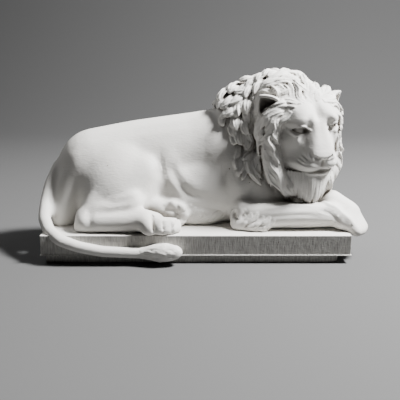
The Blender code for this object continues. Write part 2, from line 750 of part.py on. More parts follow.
def plinth():
    """A slab over a recessed band, with a thin ledge along the foot of the slab."""
    half_length = PLINTH_LENGTH / 2
    half_depth = PLINTH_DEPTH / 2
    foot = bmesh.new()
    slab(foot, (-half_length + BAND_INSET_TAIL_END, -half_depth + BAND_INSET_FRONT, 0.0),
         (half_length - BAND_INSET_PAW_END, half_depth - BAND_INSET_REAR,
          BAND_HEIGHT + LEDGE_HEIGHT), BAND_CORNER)
    top = bmesh.new()
    slab(top, (-half_length, -half_depth, BAND_HEIGHT), (half_length, half_depth, PLINTH_HEIGHT))
    ledge = bmesh.new()
    slab(ledge, (-half_length - LEDGE_PROUD, -half_depth - LEDGE_PROUD, BAND_HEIGHT - 0.0002),
         (half_length + LEDGE_PROUD, half_depth + LEDGE_PROUD, BAND_HEIGHT + LEDGE_HEIGHT))
    return [object_from(foot, "foot"), object_from(top, "top"), object_from(ledge, "ledge")]


def join_solids(whole, others):
    for other in others:
        join = whole.modifiers.new("join", "BOOLEAN")
        join.operation = "UNION"
        join.solver = "EXACT"
        join.object = other
    graph = bpy.context.evaluated_depsgraph_get()
    whole.data = bpy.data.meshes.new_from_object(whole.evaluated_get(graph))
    whole.modifiers.clear()
    for other in others:
        bpy.data.objects.remove(other)


def plaster():
    material = bpy.data.materials.new("plaster")
    material.use_nodes = True
    shader = material.node_tree.nodes["Principled BSDF"]
    shader.inputs["Base Color"].default_value = PLASTER_COLOUR
    shader.inputs["Roughness"].default_value = PLASTER_ROUGHNESS
    shader.inputs["Metallic"].default_value = 0.0
    return material


def place_on_plinth(mesh):
    """From carving units to metres, held to the plinth's front corner by the paws."""
    corner = Vector((PLINTH_LENGTH / 2, -PLINTH_DEPTH / 2, PLINTH_HEIGHT))
    shift = Matrix.Translation(Vector((-CORNER_X, -CORNER_Y, 0.0)))
    mesh.transform(Matrix.Translation(corner) @ Matrix.Scale(UNIT, 4) @ shift)


def build():
    clear_scene()
    animal = lion()
    animal = thin_out(animal, LION_FACES, likeness(animal))
    place_on_plinth(animal)
    casting = bpy.data.objects.new("lion_on_plinth", animal)
    bpy.context.scene.collection.objects.link(casting)
    join_solids(casting, plinth())
    casting.data.materials.clear()
    casting.data.materials.append(plaster())
    casting.data.shade_smooth()
    casting.data.set_sharp_from_angle(angle=math.radians(50))
    return casting


build()
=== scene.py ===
# %% [markdown]
# # A guardian lion, cast in plaster
#
# The real object is one casting: a lion lying on a stepped plinth, poured in a mould.
# Its model was clay, so this script works as a modeller does. It heaps up lumps, fuses
# them into one skin, draws the folds with a round tool, lays the mane on lock by lock,
# and at last gives the whole the look of dry plaster.

import math

import bmesh
import bpy
import numpy as np
from mathutils import Euler, Matrix, Vector
from mathutils.bvhtree import BVHTree


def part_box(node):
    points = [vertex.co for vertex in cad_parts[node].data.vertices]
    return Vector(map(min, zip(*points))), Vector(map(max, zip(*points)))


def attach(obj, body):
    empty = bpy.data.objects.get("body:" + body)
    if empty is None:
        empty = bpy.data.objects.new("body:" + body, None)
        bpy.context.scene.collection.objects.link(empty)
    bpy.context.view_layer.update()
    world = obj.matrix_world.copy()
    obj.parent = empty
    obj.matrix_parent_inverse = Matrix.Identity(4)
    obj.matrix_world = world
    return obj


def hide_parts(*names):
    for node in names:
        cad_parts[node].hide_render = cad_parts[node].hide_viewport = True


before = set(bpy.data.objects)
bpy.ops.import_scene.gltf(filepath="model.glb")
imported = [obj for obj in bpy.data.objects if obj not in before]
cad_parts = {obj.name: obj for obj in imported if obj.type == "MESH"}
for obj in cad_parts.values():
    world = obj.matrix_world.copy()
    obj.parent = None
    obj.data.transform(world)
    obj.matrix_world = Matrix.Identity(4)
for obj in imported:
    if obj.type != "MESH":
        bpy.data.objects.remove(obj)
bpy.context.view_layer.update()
CASTING = "lion_on_plinth"
low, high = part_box(CASTING)

# %% [markdown]
# ## Units
#
# The lion is described in carving units, a millimetre each at the real size. Their size
# in metres is read from the frame, so the sculpture fills the solid it stands for. Its x
# runs along the plinth to the forepaws, y away from the viewer, z up from the plinth's top.

# %% Units
BOX_UNITS = 330.7
UNIT = (high[0] - low[0]) / BOX_UNITS
PLINTH_LENGTH = 300
PLINTH_DEPTH = 125
PLINTH_HEIGHT = 28
FRONT = -PLINTH_DEPTH / 2
print("one carving unit is", round(UNIT * 1000, 4), "mm")

# %% [markdown]
# ## Camera
#
# The camera stands a little above the lion's head and looks down along the plinth's
# front, with a short telephoto lens, which keeps the plinth's edges nearly parallel.

# %% Camera
def into_scene(name, data):
    thing = bpy.data.objects.new(name, data)
    bpy.context.scene.collection.objects.link(thing)
    return thing


CAMERA_PLACE = (0.0041, -0.6125, 0.2026)
CAMERA_DOWN = 14.2
LENS = 54

camera = into_scene("camera", bpy.data.cameras.new("camera"))
camera.data.lens = LENS
camera.data.sensor_width = 36
camera.location = CAMERA_PLACE
camera.rotation_euler = (math.radians(90 - CAMERA_DOWN), 0, 0)
bpy.context.scene.camera = camera
print("camera looks down", CAMERA_DOWN, "degrees")

# %% [markdown]
# ## Floor and light
#
# A plain sweep rises behind the casting, so no horizon shows. White plaster shows its
# carving only where light rakes over it, so the key is a small soft box high beyond the
# paws, almost in line with the plinth. A weak one at the tail's end lifts the rump, and
# a third lights only the sweep behind. The floor's own bounce fills the shadows.

# %% Floor
def shaded(name):
    """A new material, and the shader that gives its look."""
    material = bpy.data.materials.new(name)
    material.use_nodes = True
    return material, material.node_tree.nodes["Principled BSDF"]


def mesh_from(points, faces):
    mesh = bpy.data.meshes.new("mesh")
    mesh.from_pydata(points, [], faces)
    return mesh


def sweep_floor(width=6, front=-1.6, back=1.5, rise=2.4, bend=0.7, steps=16):
    """A sheet that lies flat, bends up behind the casting and rises straight."""
    profile = [(front, 0)]
    for angle in np.linspace(0, 0.5 * math.pi, steps + 1):
        profile.append((back - bend + bend * math.sin(angle), bend - bend * math.cos(angle)))
    profile.append((back, rise))
    rows = len(profile)
    verts = [(side * width / 2, y, z) for side in (-1, 1) for y, z in profile]
    faces = [(row, row + rows, row + rows + 1, row + 1) for row in range(rows - 1)]
    mesh = mesh_from(verts, faces)
    mesh.shade_smooth()
    return mesh


FLOOR_GREY = (0.085, 0.085, 0.085, 1)

floor_paint, floor_shader = shaded("floor_paint")
floor_shader.inputs["Base Color"].default_value = FLOOR_GREY
floor_shader.inputs["Roughness"].default_value = 0.9
floor = into_scene("floor", sweep_floor())
floor.data.materials.append(floor_paint)
print("floor:", len(floor.data.polygons), "faces")

# %% Light
def soft_box(name, place, target, size, power):
    light = bpy.data.lights.new(name, "AREA")
    light.size = size
    light.energy = power
    holder = into_scene(name, light)
    holder.location = place
    aim = Vector(target) - Vector(place)
    holder.rotation_euler = aim.to_track_quat("-Z", "Y").to_euler()


ROOM_LIGHT = 0.008

soft_box("key", (0.66, -0.075, 0.92), (0.02, 0, 0.08), 0.20, 70)
soft_box("back", (-0.55, 0.25, 0.80), (-0.02, 0, 0.08), 0.5, 2.5)
soft_box("wall", (1.1, 0.6, 0.9), (0.9, 1.5, 0.4), 0.8, 18)
room = bpy.data.worlds.new("room")
room.use_nodes = True
backdrop = room.node_tree.nodes["Background"]
backdrop.inputs["Color"].default_value = (1, 1, 1, 1)
backdrop.inputs["Strength"].default_value = ROOM_LIGHT
bpy.context.scene.world = room
print(len(bpy.data.lights), "soft boxes")

# %% [markdown]
# ## Clay
#
# Muscle and bone are round masses that run into each other, so each is an ellipsoid or a
# limb: the convex hull round two of them, which gives a tapered length with round ends.
# A voxel Remesh modifier then fuses everything that overlaps into one closed skin, and a
# Smooth modifier rubs the joins away, as a thumb does.

# %% Clay tools
BALL_DETAIL = 3


def turned(*angles):
    """A turn about x, y and z, in degrees."""
    return Euler([math.radians(angle) for angle in angles])


def lump(piece, centre, radii, turn=(0, 0, 0)):
    if not hasattr(radii, "__len__"):
        radii = (radii, radii, radii)
    place = Matrix.LocRotScale(Vector(centre), turned(*turn), Vector(radii))
    bmesh.ops.create_icosphere(piece, subdivisions=BALL_DETAIL, radius=1, matrix=place)


class Clay:
    """A heap of lumps that is fused later."""

    def __init__(self, axes=Matrix.Identity(4)):
        self.heap = bmesh.new()
        self.axes = axes

    def add(self, piece):
        piece.transform(self.axes)
        mesh = bpy.data.meshes.new("lump")
        piece.to_mesh(mesh)
        piece.free()
        self.add_mesh(mesh)
        bpy.data.meshes.remove(mesh)

    def add_mesh(self, mesh):
        self.heap.from_mesh(mesh)

    def ball(self, centre, radii, turn=(0, 0, 0)):
        piece = bmesh.new()
        lump(piece, centre, radii, turn)
        self.add(piece)

    def limb(self, *beads):
        """Tapered lengths through beads, each a centre and its radius or radii."""
        for first, second in zip(beads, beads[1:]):
            piece = bmesh.new()
            lump(piece, *first)
            lump(piece, *second)
            hull = bmesh.ops.convex_hull(piece, input=piece.verts)
            inside = hull["geom_interior"] + hull["geom_unused"]
            loose = {item for item in inside if isinstance(item, bmesh.types.BMVert)}
            bmesh.ops.delete(piece, geom=list(loose), context="VERTS")
            self.add(piece)

    def mesh(self):
        mesh = bpy.data.meshes.new("clay")
        self.heap.to_mesh(mesh)
        self.heap.free()
        return mesh


print("a lump has", 20 * 4 ** (BALL_DETAIL - 1), "faces")

# %% Fusing and rubbing
def evaluated(data, set_up=None):
    """The mesh that the data gives, after the modifiers that set_up adds."""
    bench = into_scene("bench", data)
    if set_up:
        set_up(bench.modifiers)
    graph = bpy.context.evaluated_depsgraph_get()
    result = bpy.data.meshes.new_from_object(bench.evaluated_get(graph))
    bpy.data.objects.remove(bench)
    return result


def knead(mesh, grain, rubs):
    """Fuses lumps into one closed skin, if a grain is given, and rubs it smooth."""
    def set_up(modifiers):
        if grain:
            fuse = modifiers.new("fuse", "REMESH")
            fuse.mode = "VOXEL"
            fuse.voxel_size = grain
        modifiers.new("rub", "SMOOTH").iterations = rubs
    return evaluated(mesh, set_up)


print("a skin can be kneaded to any grain")

# %% [markdown]
# ## Carving
#
# Folds, tendons and creases are strokes of a round tool. A stroke is a path with a width
# and a depth, and every point of the skin within the width moves along its normal, most
# in the middle. A negative depth raises a ridge, as adding a roll of clay does. Paths are
# drawn flat, as seen from the side or from the front, and thrown onto the skin.

# %% Points and paths
def read(items, field):
    flat = np.empty(len(items) * 3, np.float32)
    items.foreach_get(field, flat)
    return flat.reshape(-1, 3).astype(float)


def points_of(mesh):
    return read(mesh.vertices, "co")


def move_points(mesh, points):
    mesh.vertices.foreach_set("co", points.astype(np.float32).ravel())
    mesh.update()


def in_axes(points, axes):
    matrix = np.array(axes)
    return points @ matrix[:3, :3].T + matrix[:3, 3]


def ease(start, end, value):
    """0 before start, 1 past end, and a soft step between them."""
    share = np.clip((value - start) / (end - start), 0, 1)
    return share * share * (3 - 2 * share)


class Ground:
    """A skin to cast rays at or to walk on: its points, their normals and a tree."""

    def __init__(self, mesh):
        self.points = points_of(mesh)
        self.normals = read(mesh.vertex_normals, "vector")
        corners = [vertex.co for vertex in mesh.vertices]
        self.tree = BVHTree.FromPolygons(corners, [face.vertices for face in mesh.polygons])


print("a soft step passes half way at", ease(0, 1, 0.5))


# %% Smooth curves
def through(places, values, wanted):
    """A smooth curve through values at places, read at the wanted places."""
    places = np.array(places, float)
    values = np.array(values, float)
    slopes = np.gradient(values, places, axis=0)
    first = np.clip(np.searchsorted(places, wanted, side="right") - 1, 0, len(places) - 2)
    length = places[first + 1] - places[first]
    t = (wanted - places[first]) / length
    if values.ndim > 1:
        t, length = t[:, None], length[:, None]
    return ((1 + 2 * t) * (1 - t) ** 2 * values[first] + t * (1 - t) ** 2 * length * slopes[first]
            + t**2 * (3 - 2 * t) * values[first + 1]
            + t**2 * (t - 1) * length * slopes[first + 1])


def rounded(path, cuts=4):
    spans = len(path) - 1
    return through(range(spans + 1), path, np.linspace(0, spans, spans * cuts + 1))


print("a path of 3 points is rounded to", len(rounded(((0, 0), (1, 0), (1, 1)))))


# %% Distance to a path
def distance_along(points, path):
    """Each point's distance from a path, and the share of the path it is at."""
    steps = np.diff(path, axis=0)
    lengths = np.linalg.norm(steps, axis=1)
    nearest = np.full(len(points), np.inf)
    share = np.zeros(len(points))
    run = 0
    for start, step, length in zip(path, steps, lengths):
        along = np.clip((points - start) @ step / length**2, 0, 1)
        gap = np.linalg.norm(points - start - along[:, None] * step, axis=1)
        closer = gap < nearest
        nearest[closer] = gap[closer]
        share[closer] = (run + along[closer] * length) / lengths.sum()
        run += length
    return nearest, share


print("a path's middle:", distance_along(np.array([(1, 1)]), np.array([(0, 0), (2, 0)]))[1])


# %% Carving tools
THROW_FROM = 200
AT_FLANK = Vector((0, 1, 0))
AT_FACE = Vector((-1, 0, 0))


def thrown(tree, path, aim):
    """A flat path, drawn as seen along the aim, where it meets the skin."""
    across = Vector((aim.y, -aim.x, 0))
    found = []
    for width, height in rounded(path, 2):
        place = across * width + Vector((0, 0, height)) - aim * THROW_FROM
        found.append(tree.ray_cast(place, aim)[0])
    return [place for place in found if place is not None]


def carve(mesh, aim, strokes):
    """Draws strokes on the skin, each a path, a width and a depth."""
    ground = Ground(mesh)
    points = ground.points
    for path, width, depth in strokes:
        path = rounded(thrown(ground.tree, path, aim))
        low, high = path.min(axis=0) - width, path.max(axis=0) + width
        near = np.nonzero(np.all((points > low) & (points < high), axis=1))[0]
        gap, share = distance_along(points[near], path)
        bite = np.clip(1 - (gap / width) ** 2, 0, 1) ** 2
        ends = np.clip(np.minimum(share, 1 - share) * 5 + 0.1, 0, 1)
        points[near] -= ground.normals[near] * (depth * bite * ends)[:, None]
    move_points(mesh, points)


print("paths are thrown from", THROW_FROM, "units away")

# %% [markdown]
# ## Trunk and neck
#
# The back falls in one long line from the withers to the rump, and the belly rests on
# the plinth. Overlapping masses carry that line: rump, loins, ribs and withers. Wider and
# lower ones carry the belly and the chest, so the flank slopes outward to the light.

# %% Trunk and neck
def trunk(clay):
    clay.limb(((-104, 8, 50), (42, 37, 44.5)), ((-60, 14, 50), (46, 36, 52.5)),
              ((0, 16, 57), (50, 35, 53.5)), ((24, 12, 64), (36, 32, 51)))
    clay.limb(((-30, 8, 34), (46, 34, 38)), ((20, 4, 34), (46, 36, 40)),
              ((50, 2, 38), (36, 34, 42)))
    clay.ball((0, -2, 36), (52, 24, 44), (-30, 0, 0))
    clay.ball((82, -2, 34), (28, 28, 34))
    clay.ball((-120, 4, 34), (27, 30, 34))
    clay.limb(((-118, -4, 46), (23, 23, 30)), ((-136, -18, 9), (13.5, 14, 17)))


def neck(clay):
    clay.limb(((40, 11, 80), (28, 29, 54)), ((72, 7, 99), (27, 22, 50)),
              ((94, 0, 104), (25, 28, 45)))


print("trunk and neck shaped")

# %% [markdown]
# ## Legs
#
# The near hind leg is folded under its haunch: hip and knee high up, hock on the plinth,
# and the long foot laid forward along the edge. The far foreleg crosses in front of the
# other, so its wrist and paw cover the near paw at the plinth's corner.

# %% Hind legs
HIP = (-80, -9, 43)
KNEE = (-53, -14, 48)
HOCK = (-110, -42, 14)


def near_hind_leg(clay):
    clay.ball(HIP, (47, 31, 52), (-26, 0, 0))
    clay.limb((KNEE, (20, 21, 26)), ((-76, -26, 36), (28, 17, 16)))
    clay.limb(((-62, -38, 28), 12), ((-90, -40, 20), 11), (HOCK, 9.5))
    clay.limb(((-99, -33, 30), 11), ((-111, -43, 9), 8.5))
    clay.ball((-113, -46, 5), 8)
    clay.limb(((-108, -48, 9), 10), ((-66, -50, 10.5), 10.5), ((-50, -51, 12), 11.5))
    clay.ball((-44, -49, 9), (15, 11, 12))
    toes = (((-47, -57, 10.5), 9.4), ((-34.5, -57, 10.5), 7.6),
            ((-25.5, -54, 10), 6.8), ((-19.5, -48, 8.5), 6))
    for knuckle, radius in toes:
        tip = (knuckle[0] + 2, knuckle[1] - 3.4, radius - 2.5)
        clay.limb((knuckle, radius), (tip, radius - 1.2))


def far_hind_leg(clay):
    clay.limb(((-70, -6, 20), 12), ((-54, -24, 20), 9), ((-36, -29, 19), 9))
    clay.ball((-25, -31, 13), (14, 8, 14), (0, 30, 0))
    clay.ball((-27, -37, 16), (6, 4, 5))
    for pad in ((-23, -37, 25.5), (-14.5, -37, 22), (-10.5, -37, 14), (-14, -37, 6), (-23, -37, 3)):
        clay.ball(pad, 4.6)
    clay.ball((-84, 34, 34), (40, 18, 34))


print("hip at", HIP, "knee at", KNEE, "hock at", HOCK)


# %% Forelegs
def near_foreleg(clay):
    clay.limb(((28, -1, 70), (36, 20, 34)), ((42, -20, 40), (18, 15, 20)))
    clay.ball((48, -29, 16), (14, 14, 16))
    clay.limb(((44, -36, 6), (10, 11, 8)), ((64, -43, 5), (12, 9, 6)))
    clay.limb(((58, -34, 14), 13.5), ((76, -37, 14), 13.5), ((106, -37, 13.5), 13),
              ((134, -36, 14), 12.5))
    clay.ball((146, -40, 9), (13, 13, 10))
    clay.limb(((62, -14, 50), (16, 16, 24)), ((66, -24, 28), (14, 12, 14)))


def far_foreleg(clay):
    clay.limb(((60, 32, 30), 22), ((66, 34, 16), 16), ((110, 16, 18), 14),
              ((132, -8, 20), 14), ((140, -16, 22), 12))
    clay.limb(((138, -15, 22), 12.5), ((152, -28, 14), (14, 15, 12)))
    toes = (((150, -40, 9), (157, -53, 1)), ((155, -36, 11), (163, -47, 1)),
            ((158, -30, 12), (167, -38, 1)), ((158, -24, 12), (168, -29, 1)))
    for knuckle, tip in toes:
        clay.limb((knuckle, 8), (tip, 6))


print("forelegs shaped, the far paw in front")

# %% [markdown]
# ## Tail
#
# The tail comes round the rump, drops over the plinth's edge, and runs along its front
# face to a tuft. It is a string of beads on one smooth route, each a little smaller.

# %% Tail
TAIL_DROP = 0.57 * PLINTH_HEIGHT
TAIL_RADIUS = 6.6


def tail(clay):
    front = FRONT - 4.5
    route = ((-132, 6, 66), (-142, 0, 56), (-149, -10, 40), (-152, -22, 23),
             (-151, -38, 10), (-143, -53, 2), (-130, front + 2, -0.25 * TAIL_DROP),
             (-112, front, -0.62 * TAIL_DROP), (-90, front, -0.9 * TAIL_DROP),
             (-60, front, -TAIL_DROP), (-42, front, -TAIL_DROP))
    last = len(route) - 1
    clay.limb(*((place, TAIL_RADIUS * (1.12 - 0.28 * i / last))
                for i, place in enumerate(route)))
    clay.limb(((-50, front, -TAIL_DROP), 5.4), ((-31, front - 1.5, 1 - TAIL_DROP), (12, 7.4, 8.6)),
              ((-20, front - 1.5, 1 - TAIL_DROP), (7, 6, 6.4)))


print("the tail hangs", round(TAIL_DROP, 1), "units down the plinth's front")

# %% [markdown]
# ## Body
#
# The masses are fused coarsely first, because a coarse grain rubs smooth in few passes,
# and the folds of the flank are drawn before any hair goes on.

# %% Folds of the flank
# near flank, drawn from the side: path of x and z, width, depth
FLANK_STROKES = (
    # the haunch: the front edge of its muscle, the groove behind it, the buttock
    (((-57, 88), (-53, 78), (-52, 66), (-53, 52)), 9, 0.5),
    (((-105, 80), (-109, 72), (-111, 60), (-111, 46), (-109, 30)), 12, 0.4),
    (((-125, 75), (-119, 61), (-113, 46)), 12, -1),
    # the stifle's edge runs on as loose skin, a second fold sweeps to the belly
    (((-33, 76), (-31, 66), (-29, 55), (-25, 46), (-16, 33), (-8, 25)), 5, -2),
    (((-29, 82), (-24, 66), (-13, 49), (-1, 39), (13, 36)), 8, -1.4),
    (((-25, 62), (-19, 49), (-9, 37), (2, 29)), 5.5, 1),
    (((-36, 58), (-38, 50), (-43, 39)), 8.5, 1.6),
    (((-12, 72), (-2, 58), (10, 49), (20, 46)), 15, 0.6),
    # foot of the thigh, shank, heel and the long foot
    (((-46, 36), (-63, 32), (-81, 29), (-94, 33)), 4.4, 1.7),
    (((-90, 22), (-73, 26), (-60, 28)), 4.5, -1.2),
    (((-98, 19), (-81, 21), (-62, 22)), 4, 1),
    (((-103, 24), (-103, 14), (-101, 5)), 4, 2.4),
    # back of the arm, the pit behind the elbow
    (((24, 76), (27, 60), (33, 43), (39, 27)), 10, 1.2),
    (((38, 19), (39, 12)), 7, 6),
    (((-10, 21), (4, 20), (19, 17), (35, 12)), 4, 1.2),
)
print(len(FLANK_STROKES), "strokes for the flank")

# %% Lines of the feet
# feet and forearms, too fine for the coarse skin, so drawn later
FOOT_STROKES = (
    # clefts between the toes
    (((-42, 19), (-40, 9), (-40, -3)), 2.4, 3),
    (((-32, 17), (-30.5, 8), (-30, -2)), 2.1, 2.6),
    (((-24, 14), (-22.5, 7), (-22, 0)), 2, 2.2),
    # pads of the far hind paw
    (((-34, 24), (-30, 20), (-22, 19), (-18, 14), (-20, 8), (-28, 8)), 1.9, 1.4),
    (((-18.5, 26), (-17.5, 20)), 1.6, 1.3),
    (((-9, 19), (-15, 16)), 1.6, 1.3),
    (((-9, 9), (-15, 10)), 1.6, 1.3),
    # tendons of the forearm and the cords over the wrist
    (((66, 22), (92, 25), (120, 24)), 3.2, -0.9),
    (((70, 15), (102, 17), (130, 15)), 3, 0.8),
    (((80, 4), (107, 5), (139, 7)), 3.4, 1.8),
    (((124, 27), (135, 24), (146, 16), (156, 7)), 3.6, -1.5),
    (((120, 21), (131, 18), (141, 9)), 3.4, 1.3),
)
print(len(FOOT_STROKES), "strokes for the feet")

# %% Fuse the body
BODY_GRAIN = 1.5
BODY_RUBS = 20

clay = Clay()
for shape in (trunk, near_hind_leg, far_hind_leg, near_foreleg, far_foreleg, tail, neck):
    shape(clay)
body = knead(clay.mesh(), BODY_GRAIN, BODY_RUBS)
carve(body, AT_FLANK, FLANK_STROKES)
print("body skin:", len(body.vertices), "points")

# %% [markdown]
# ## Head
#
# The head has its own axes: x forward out of the face, y to the lion's left, z up, with
# the origin between the eyes. It turns to the viewer and tips a little. A face is too
# exact for lumps, so it is a net of depths: each row has a height, and says how far
# forward the skin lies at set distances from the middle. Smooth curves run between them.

# %% Axes of the head
BROW = (115.4, -38, 99)
HEAD_TURN = 24
HEAD_TILT = 1
FACE_SHIFT = (0.8, 1.8, 0.2)
FACE_SKEW = (2, 0, -2)

turn = math.radians(HEAD_TURN)
forward = (math.sin(turn), -math.cos(turn), 0)
left = (math.cos(turn), math.sin(turn), 0)
axes = Matrix((forward, left, (0, 0, 1))).transposed().to_4x4()
HEAD = Matrix.Translation(BROW) @ axes @ Matrix.Rotation(math.radians(HEAD_TILT), 4, "X")
TO_HEAD = HEAD.inverted()
FACE = HEAD @ Matrix.LocRotScale(Vector(FACE_SHIFT), turned(*FACE_SKEW), None)
print("head at", BROW, "turned", HEAD_TURN, "degrees")

# %% Net of the face
NET_ACROSS = (0, 3, 6, 9, 12, 15, 18, 21, 24, 28, 32, 36)
NET = (
    # height, then how far forward the skin lies at each distance across
    (34, (-17, -17, -17, -17.2, -17.8, -19, -20.6, -22.6, -25, -29.6, -36, -43)),
    (30, (-12.4, -12.4, -12, -12, -12.6, -13.8, -15.2, -17.2, -20, -24.6, -31, -38)),
    (26, (-9.4, -9, -8, -7.8, -8.2, -9.2, -10.6, -12.4, -15.2, -20.2, -26.6, -34)),
    (20, (-5.8, -4.8, -2.8, -2, -2, -2.8, -4.4, -6.4, -9.4, -15, -21.5, -29)),
    (15, (-3.4, -2, 0.2, 1.4, 1.8, 1.4, 0, -2.6, -6.2, -12, -18.5, -26)),
    (11, (-1, 0.2, 1.6, 2.2, 2.8, 3.4, 2.8, 0.4, -3.4, -9.2, -15.6, -24)),
    (8, (1.6, 2.2, 2.4, 1.6, 1.6, 2.8, 3, 1.4, -1.8, -7.4, -14.2, -23.2)),
    (5, (3.2, 3.4, 2.8, 1, 0.6, 1.2, 1.6, 0.4, -2.8, -8.6, -15, -23.5)),
    (3, (4, 4.2, 3.4, 1, -1, 0.2, 0.8, -1, -5, -11, -16.4, -23.5)),
    (-1, (5.4, 5.4, 4.8, 2.4, -0.8, -2.2, -1.8, -2.4, -5.2, -11.2, -16.2, -23.5)),
    (-4, (6.4, 6.4, 6, 3.8, 0.6, -2, -2.6, -2.4, -3.8, -9.4, -15.4, -23.5)),
    (-8, (7.8, 7.8, 7.4, 5.8, 2.6, -0.8, -2.2, -2, -3.6, -8.8, -15, -23.5)),
    (-13, (9.6, 9.6, 9.2, 7.9, 5, 1.2, -1.4, -2.8, -5.2, -10.4, -16.4, -24)),
    (-18, (11.2, 11.1, 10.7, 9.7, 7.6, 3.8, -0.4, -4.2, -8, -12.8, -17.8, -24.6)),
    (-22, (12.4, 12.3, 11.9, 10.9, 9, 5.6, 1, -3.8, -8.4, -13.4, -18.4, -25.4)),
    (-26.5, (12.4, 12.3, 12, 11.4, 9.8, 7.2, 3.4, -1.8, -7.6, -13.8, -19, -26)),
    (-29.5, (8.6, 9.2, 9.6, 9.6, 9.4, 8, 5.2, 0.4, -5.8, -13.4, -19.6, -26.4)),
    (-33, (7, 8.6, 9.8, 10.2, 10, 8.8, 6.2, 1.6, -4.8, -13.4, -20.4, -27)),
    (-36.5, (5.8, 7.4, 8.8, 9, 8.6, 7, 4.2, -0.8, -7.2, -15.8, -22, -28)),
    (-38.4, (3.6, 5, 6.2, 6.4, 5.6, 3.8, 0.8, -3.6, -9.2, -16.8, -23, -29)),
    (-40, (1.6, 2, 2.4, 2.2, 1.2, -0.6, -3.4, -7.2, -11.6, -18.2, -24.2, -30.5)),
    (-42.4, (5.2, 5.2, 4.8, 3.8, 2.2, -0.2, -3.4, -7.6, -12.4, -19.4, -25.6, -32)),
    (-47, (0.6, 0.6, 0.2, -0.8, -2.4, -4.8, -8, -12, -17, -23, -29, -35)),
    (-52, (-6, -6, -6.4, -7.4, -9, -11, -14, -18, -22, -28, -34, -40)),
)
NET_STEP = 0.8
NET_BACK = -40
NET_WIDTH = 33
NET_MIDDLE = -6
NET_REACH = 50
MOUTH_LIFT = 2.5
print("net of the face:", len(NET), "rows of", len(NET_ACROSS), "depths for each half")


# %% Skin of the face
def face_net():
    """The net's front as a grid of fine quads, closed by a smaller flat back."""
    heights = np.arange(NET[-1][0], NET[0][0], NET_STEP)
    across = np.linspace(-1, 1, int(2 * NET_WIDTH / NET_STEP))
    rows = NET[::-1]
    mirrored = [-y for y in NET_ACROSS[:0:-1]] + list(NET_ACROSS)
    table = [list(row[:0:-1]) + list(row) for _, row in rows]
    ahead = through([height for height, _ in rows], table, heights)
    widths = NET_WIDTH * np.sqrt(1 - ((heights - NET_MIDDLE) / NET_REACH) ** 4)
    y = widths[:, None] * across
    z = np.repeat(heights[:, None], len(across), axis=1)
    ahead = np.array([through(mirrored, row, at) for row, at in zip(ahead, y)])
    z = z + MOUTH_LIFT * (y / 28) ** 2 * ease(-20, -36, z) * ease(38, 28, np.abs(y))
    front = np.stack((ahead, y, z), axis=-1)
    back = front.copy()
    back *= (0, 0.6, 0.6)
    back[..., 0] = NET_BACK
    rows, columns = ahead.shape
    size = rows * columns
    number = np.arange(size).reshape(rows, columns)
    corners = (number[:-1, :-1], number[:-1, 1:], number[1:, 1:], number[1:, :-1])
    quads = np.stack(corners, axis=-1).reshape(-1, 4)
    rim = np.concatenate((number[0], number[1:, -1], number[-1, -2::-1], number[-2:0:-1, 0]))
    wall = np.stack((np.roll(rim, -1), rim, rim + size, np.roll(rim, -1) + size), axis=-1)
    points = np.concatenate((front.reshape(-1, 3), back.reshape(-1, 3)))
    faces = np.concatenate((quads, quads[:, ::-1] + size, wall))
    return mesh_from(points.tolist(), faces.tolist())


FACE_GRAIN = 0.6
face = knead(face_net(), FACE_GRAIN, 4)
print("skin of the face:", len(face.vertices), "points")

# %% [markdown]
# ## Eyes, nose and mouth
#
# Each eye is an almond cut into the skin, with an eyeball set behind it. The edge of the
# cut is raised, more above than below, which makes the lids. The net already holds the
# nose and the mouth, so only narrow lines are left: a ridge along the lower lid, the
# nostrils and their wings, the split of the upper lip and the whisker grooves.

# %% Features of the face
EYE = (17.4, 0.4)
EYE_HALF = (7.4, 3.1)
EYE_SLANT = 1.2
EYE_DEPTH = 5.6
EYEBALL = 6.8
UPPER_LID = 1.8
LOWER_LID = 0.3
LID_END = 1.3


def open_eyes(mesh):
    points = points_of(mesh)
    share = (np.abs(points[:, 1]) - EYE[0]) / EYE_HALF[0]
    middle = EYE[1] + EYE_SLANT * share
    half = EYE_HALF[1] * np.clip(1 - share**2, 0, 1) ** 0.7
    inward = half - np.abs(points[:, 2] - middle)
    front = (points[:, 0] > -14) & (np.abs(share) < LID_END)
    lid = np.exp(-(((inward + 1) / 0.9) ** 2)) * ease(LID_END, 0.9, np.abs(share))
    lid *= np.where(points[:, 2] > middle, UPPER_LID, LOWER_LID)
    points[:, 0] += front * (lid - EYE_DEPTH * ease(0, 0.9, inward))
    move_points(mesh, points)


def face_lines():
    """Narrow strokes, drawn from the front as y and z: path, width, depth."""
    half = [
        # lower lid in two strokes, nostril, its wing, and three whisker grooves
        (((27.6, 4), (26.4, 0), (24.2, -2.8)), 2.6, -1.5),
        (((26.4, 0), (23.4, -3.4), (19.4, -5.2)), 2.4, -1.2),
        (((3.6, -27.4), (7.4, -26.8), (10.6, -24.4)), 2.4, 3.4),
        (((12.4, -18.5), (13.4, -22), (12, -25.4)), 2.4, 1),
    ]
    for fold in range(3):
        half.append((((18.5 + 1.8 * fold, -22 - 2.6 * fold), (15.6 + 2 * fold, -27 - 2 * fold),
                      (11.4 + 1 * fold, -31 - 1.4 * fold)), 1.7, 0.8))
    lip = (((0, -28), (0, -31), (0, -36)), 1.8, 1.6)
    return [lip] + [([(y * side, z) for y, z in path], width, depth)
                    for side in (1, -1) for path, width, depth in half]


open_eyes(face)
carve(face, AT_FACE, face_lines())
clay = Clay()
for side in (1, -1):
    clay.ball((-3.2 - EYEBALL, side * (EYE[0] - 0.4), EYE[1] - 0.8), EYEBALL)
clay.add_mesh(face)
face = clay.mesh()
face.transform(FACE)
print("face:", len(face.vertices), "points")

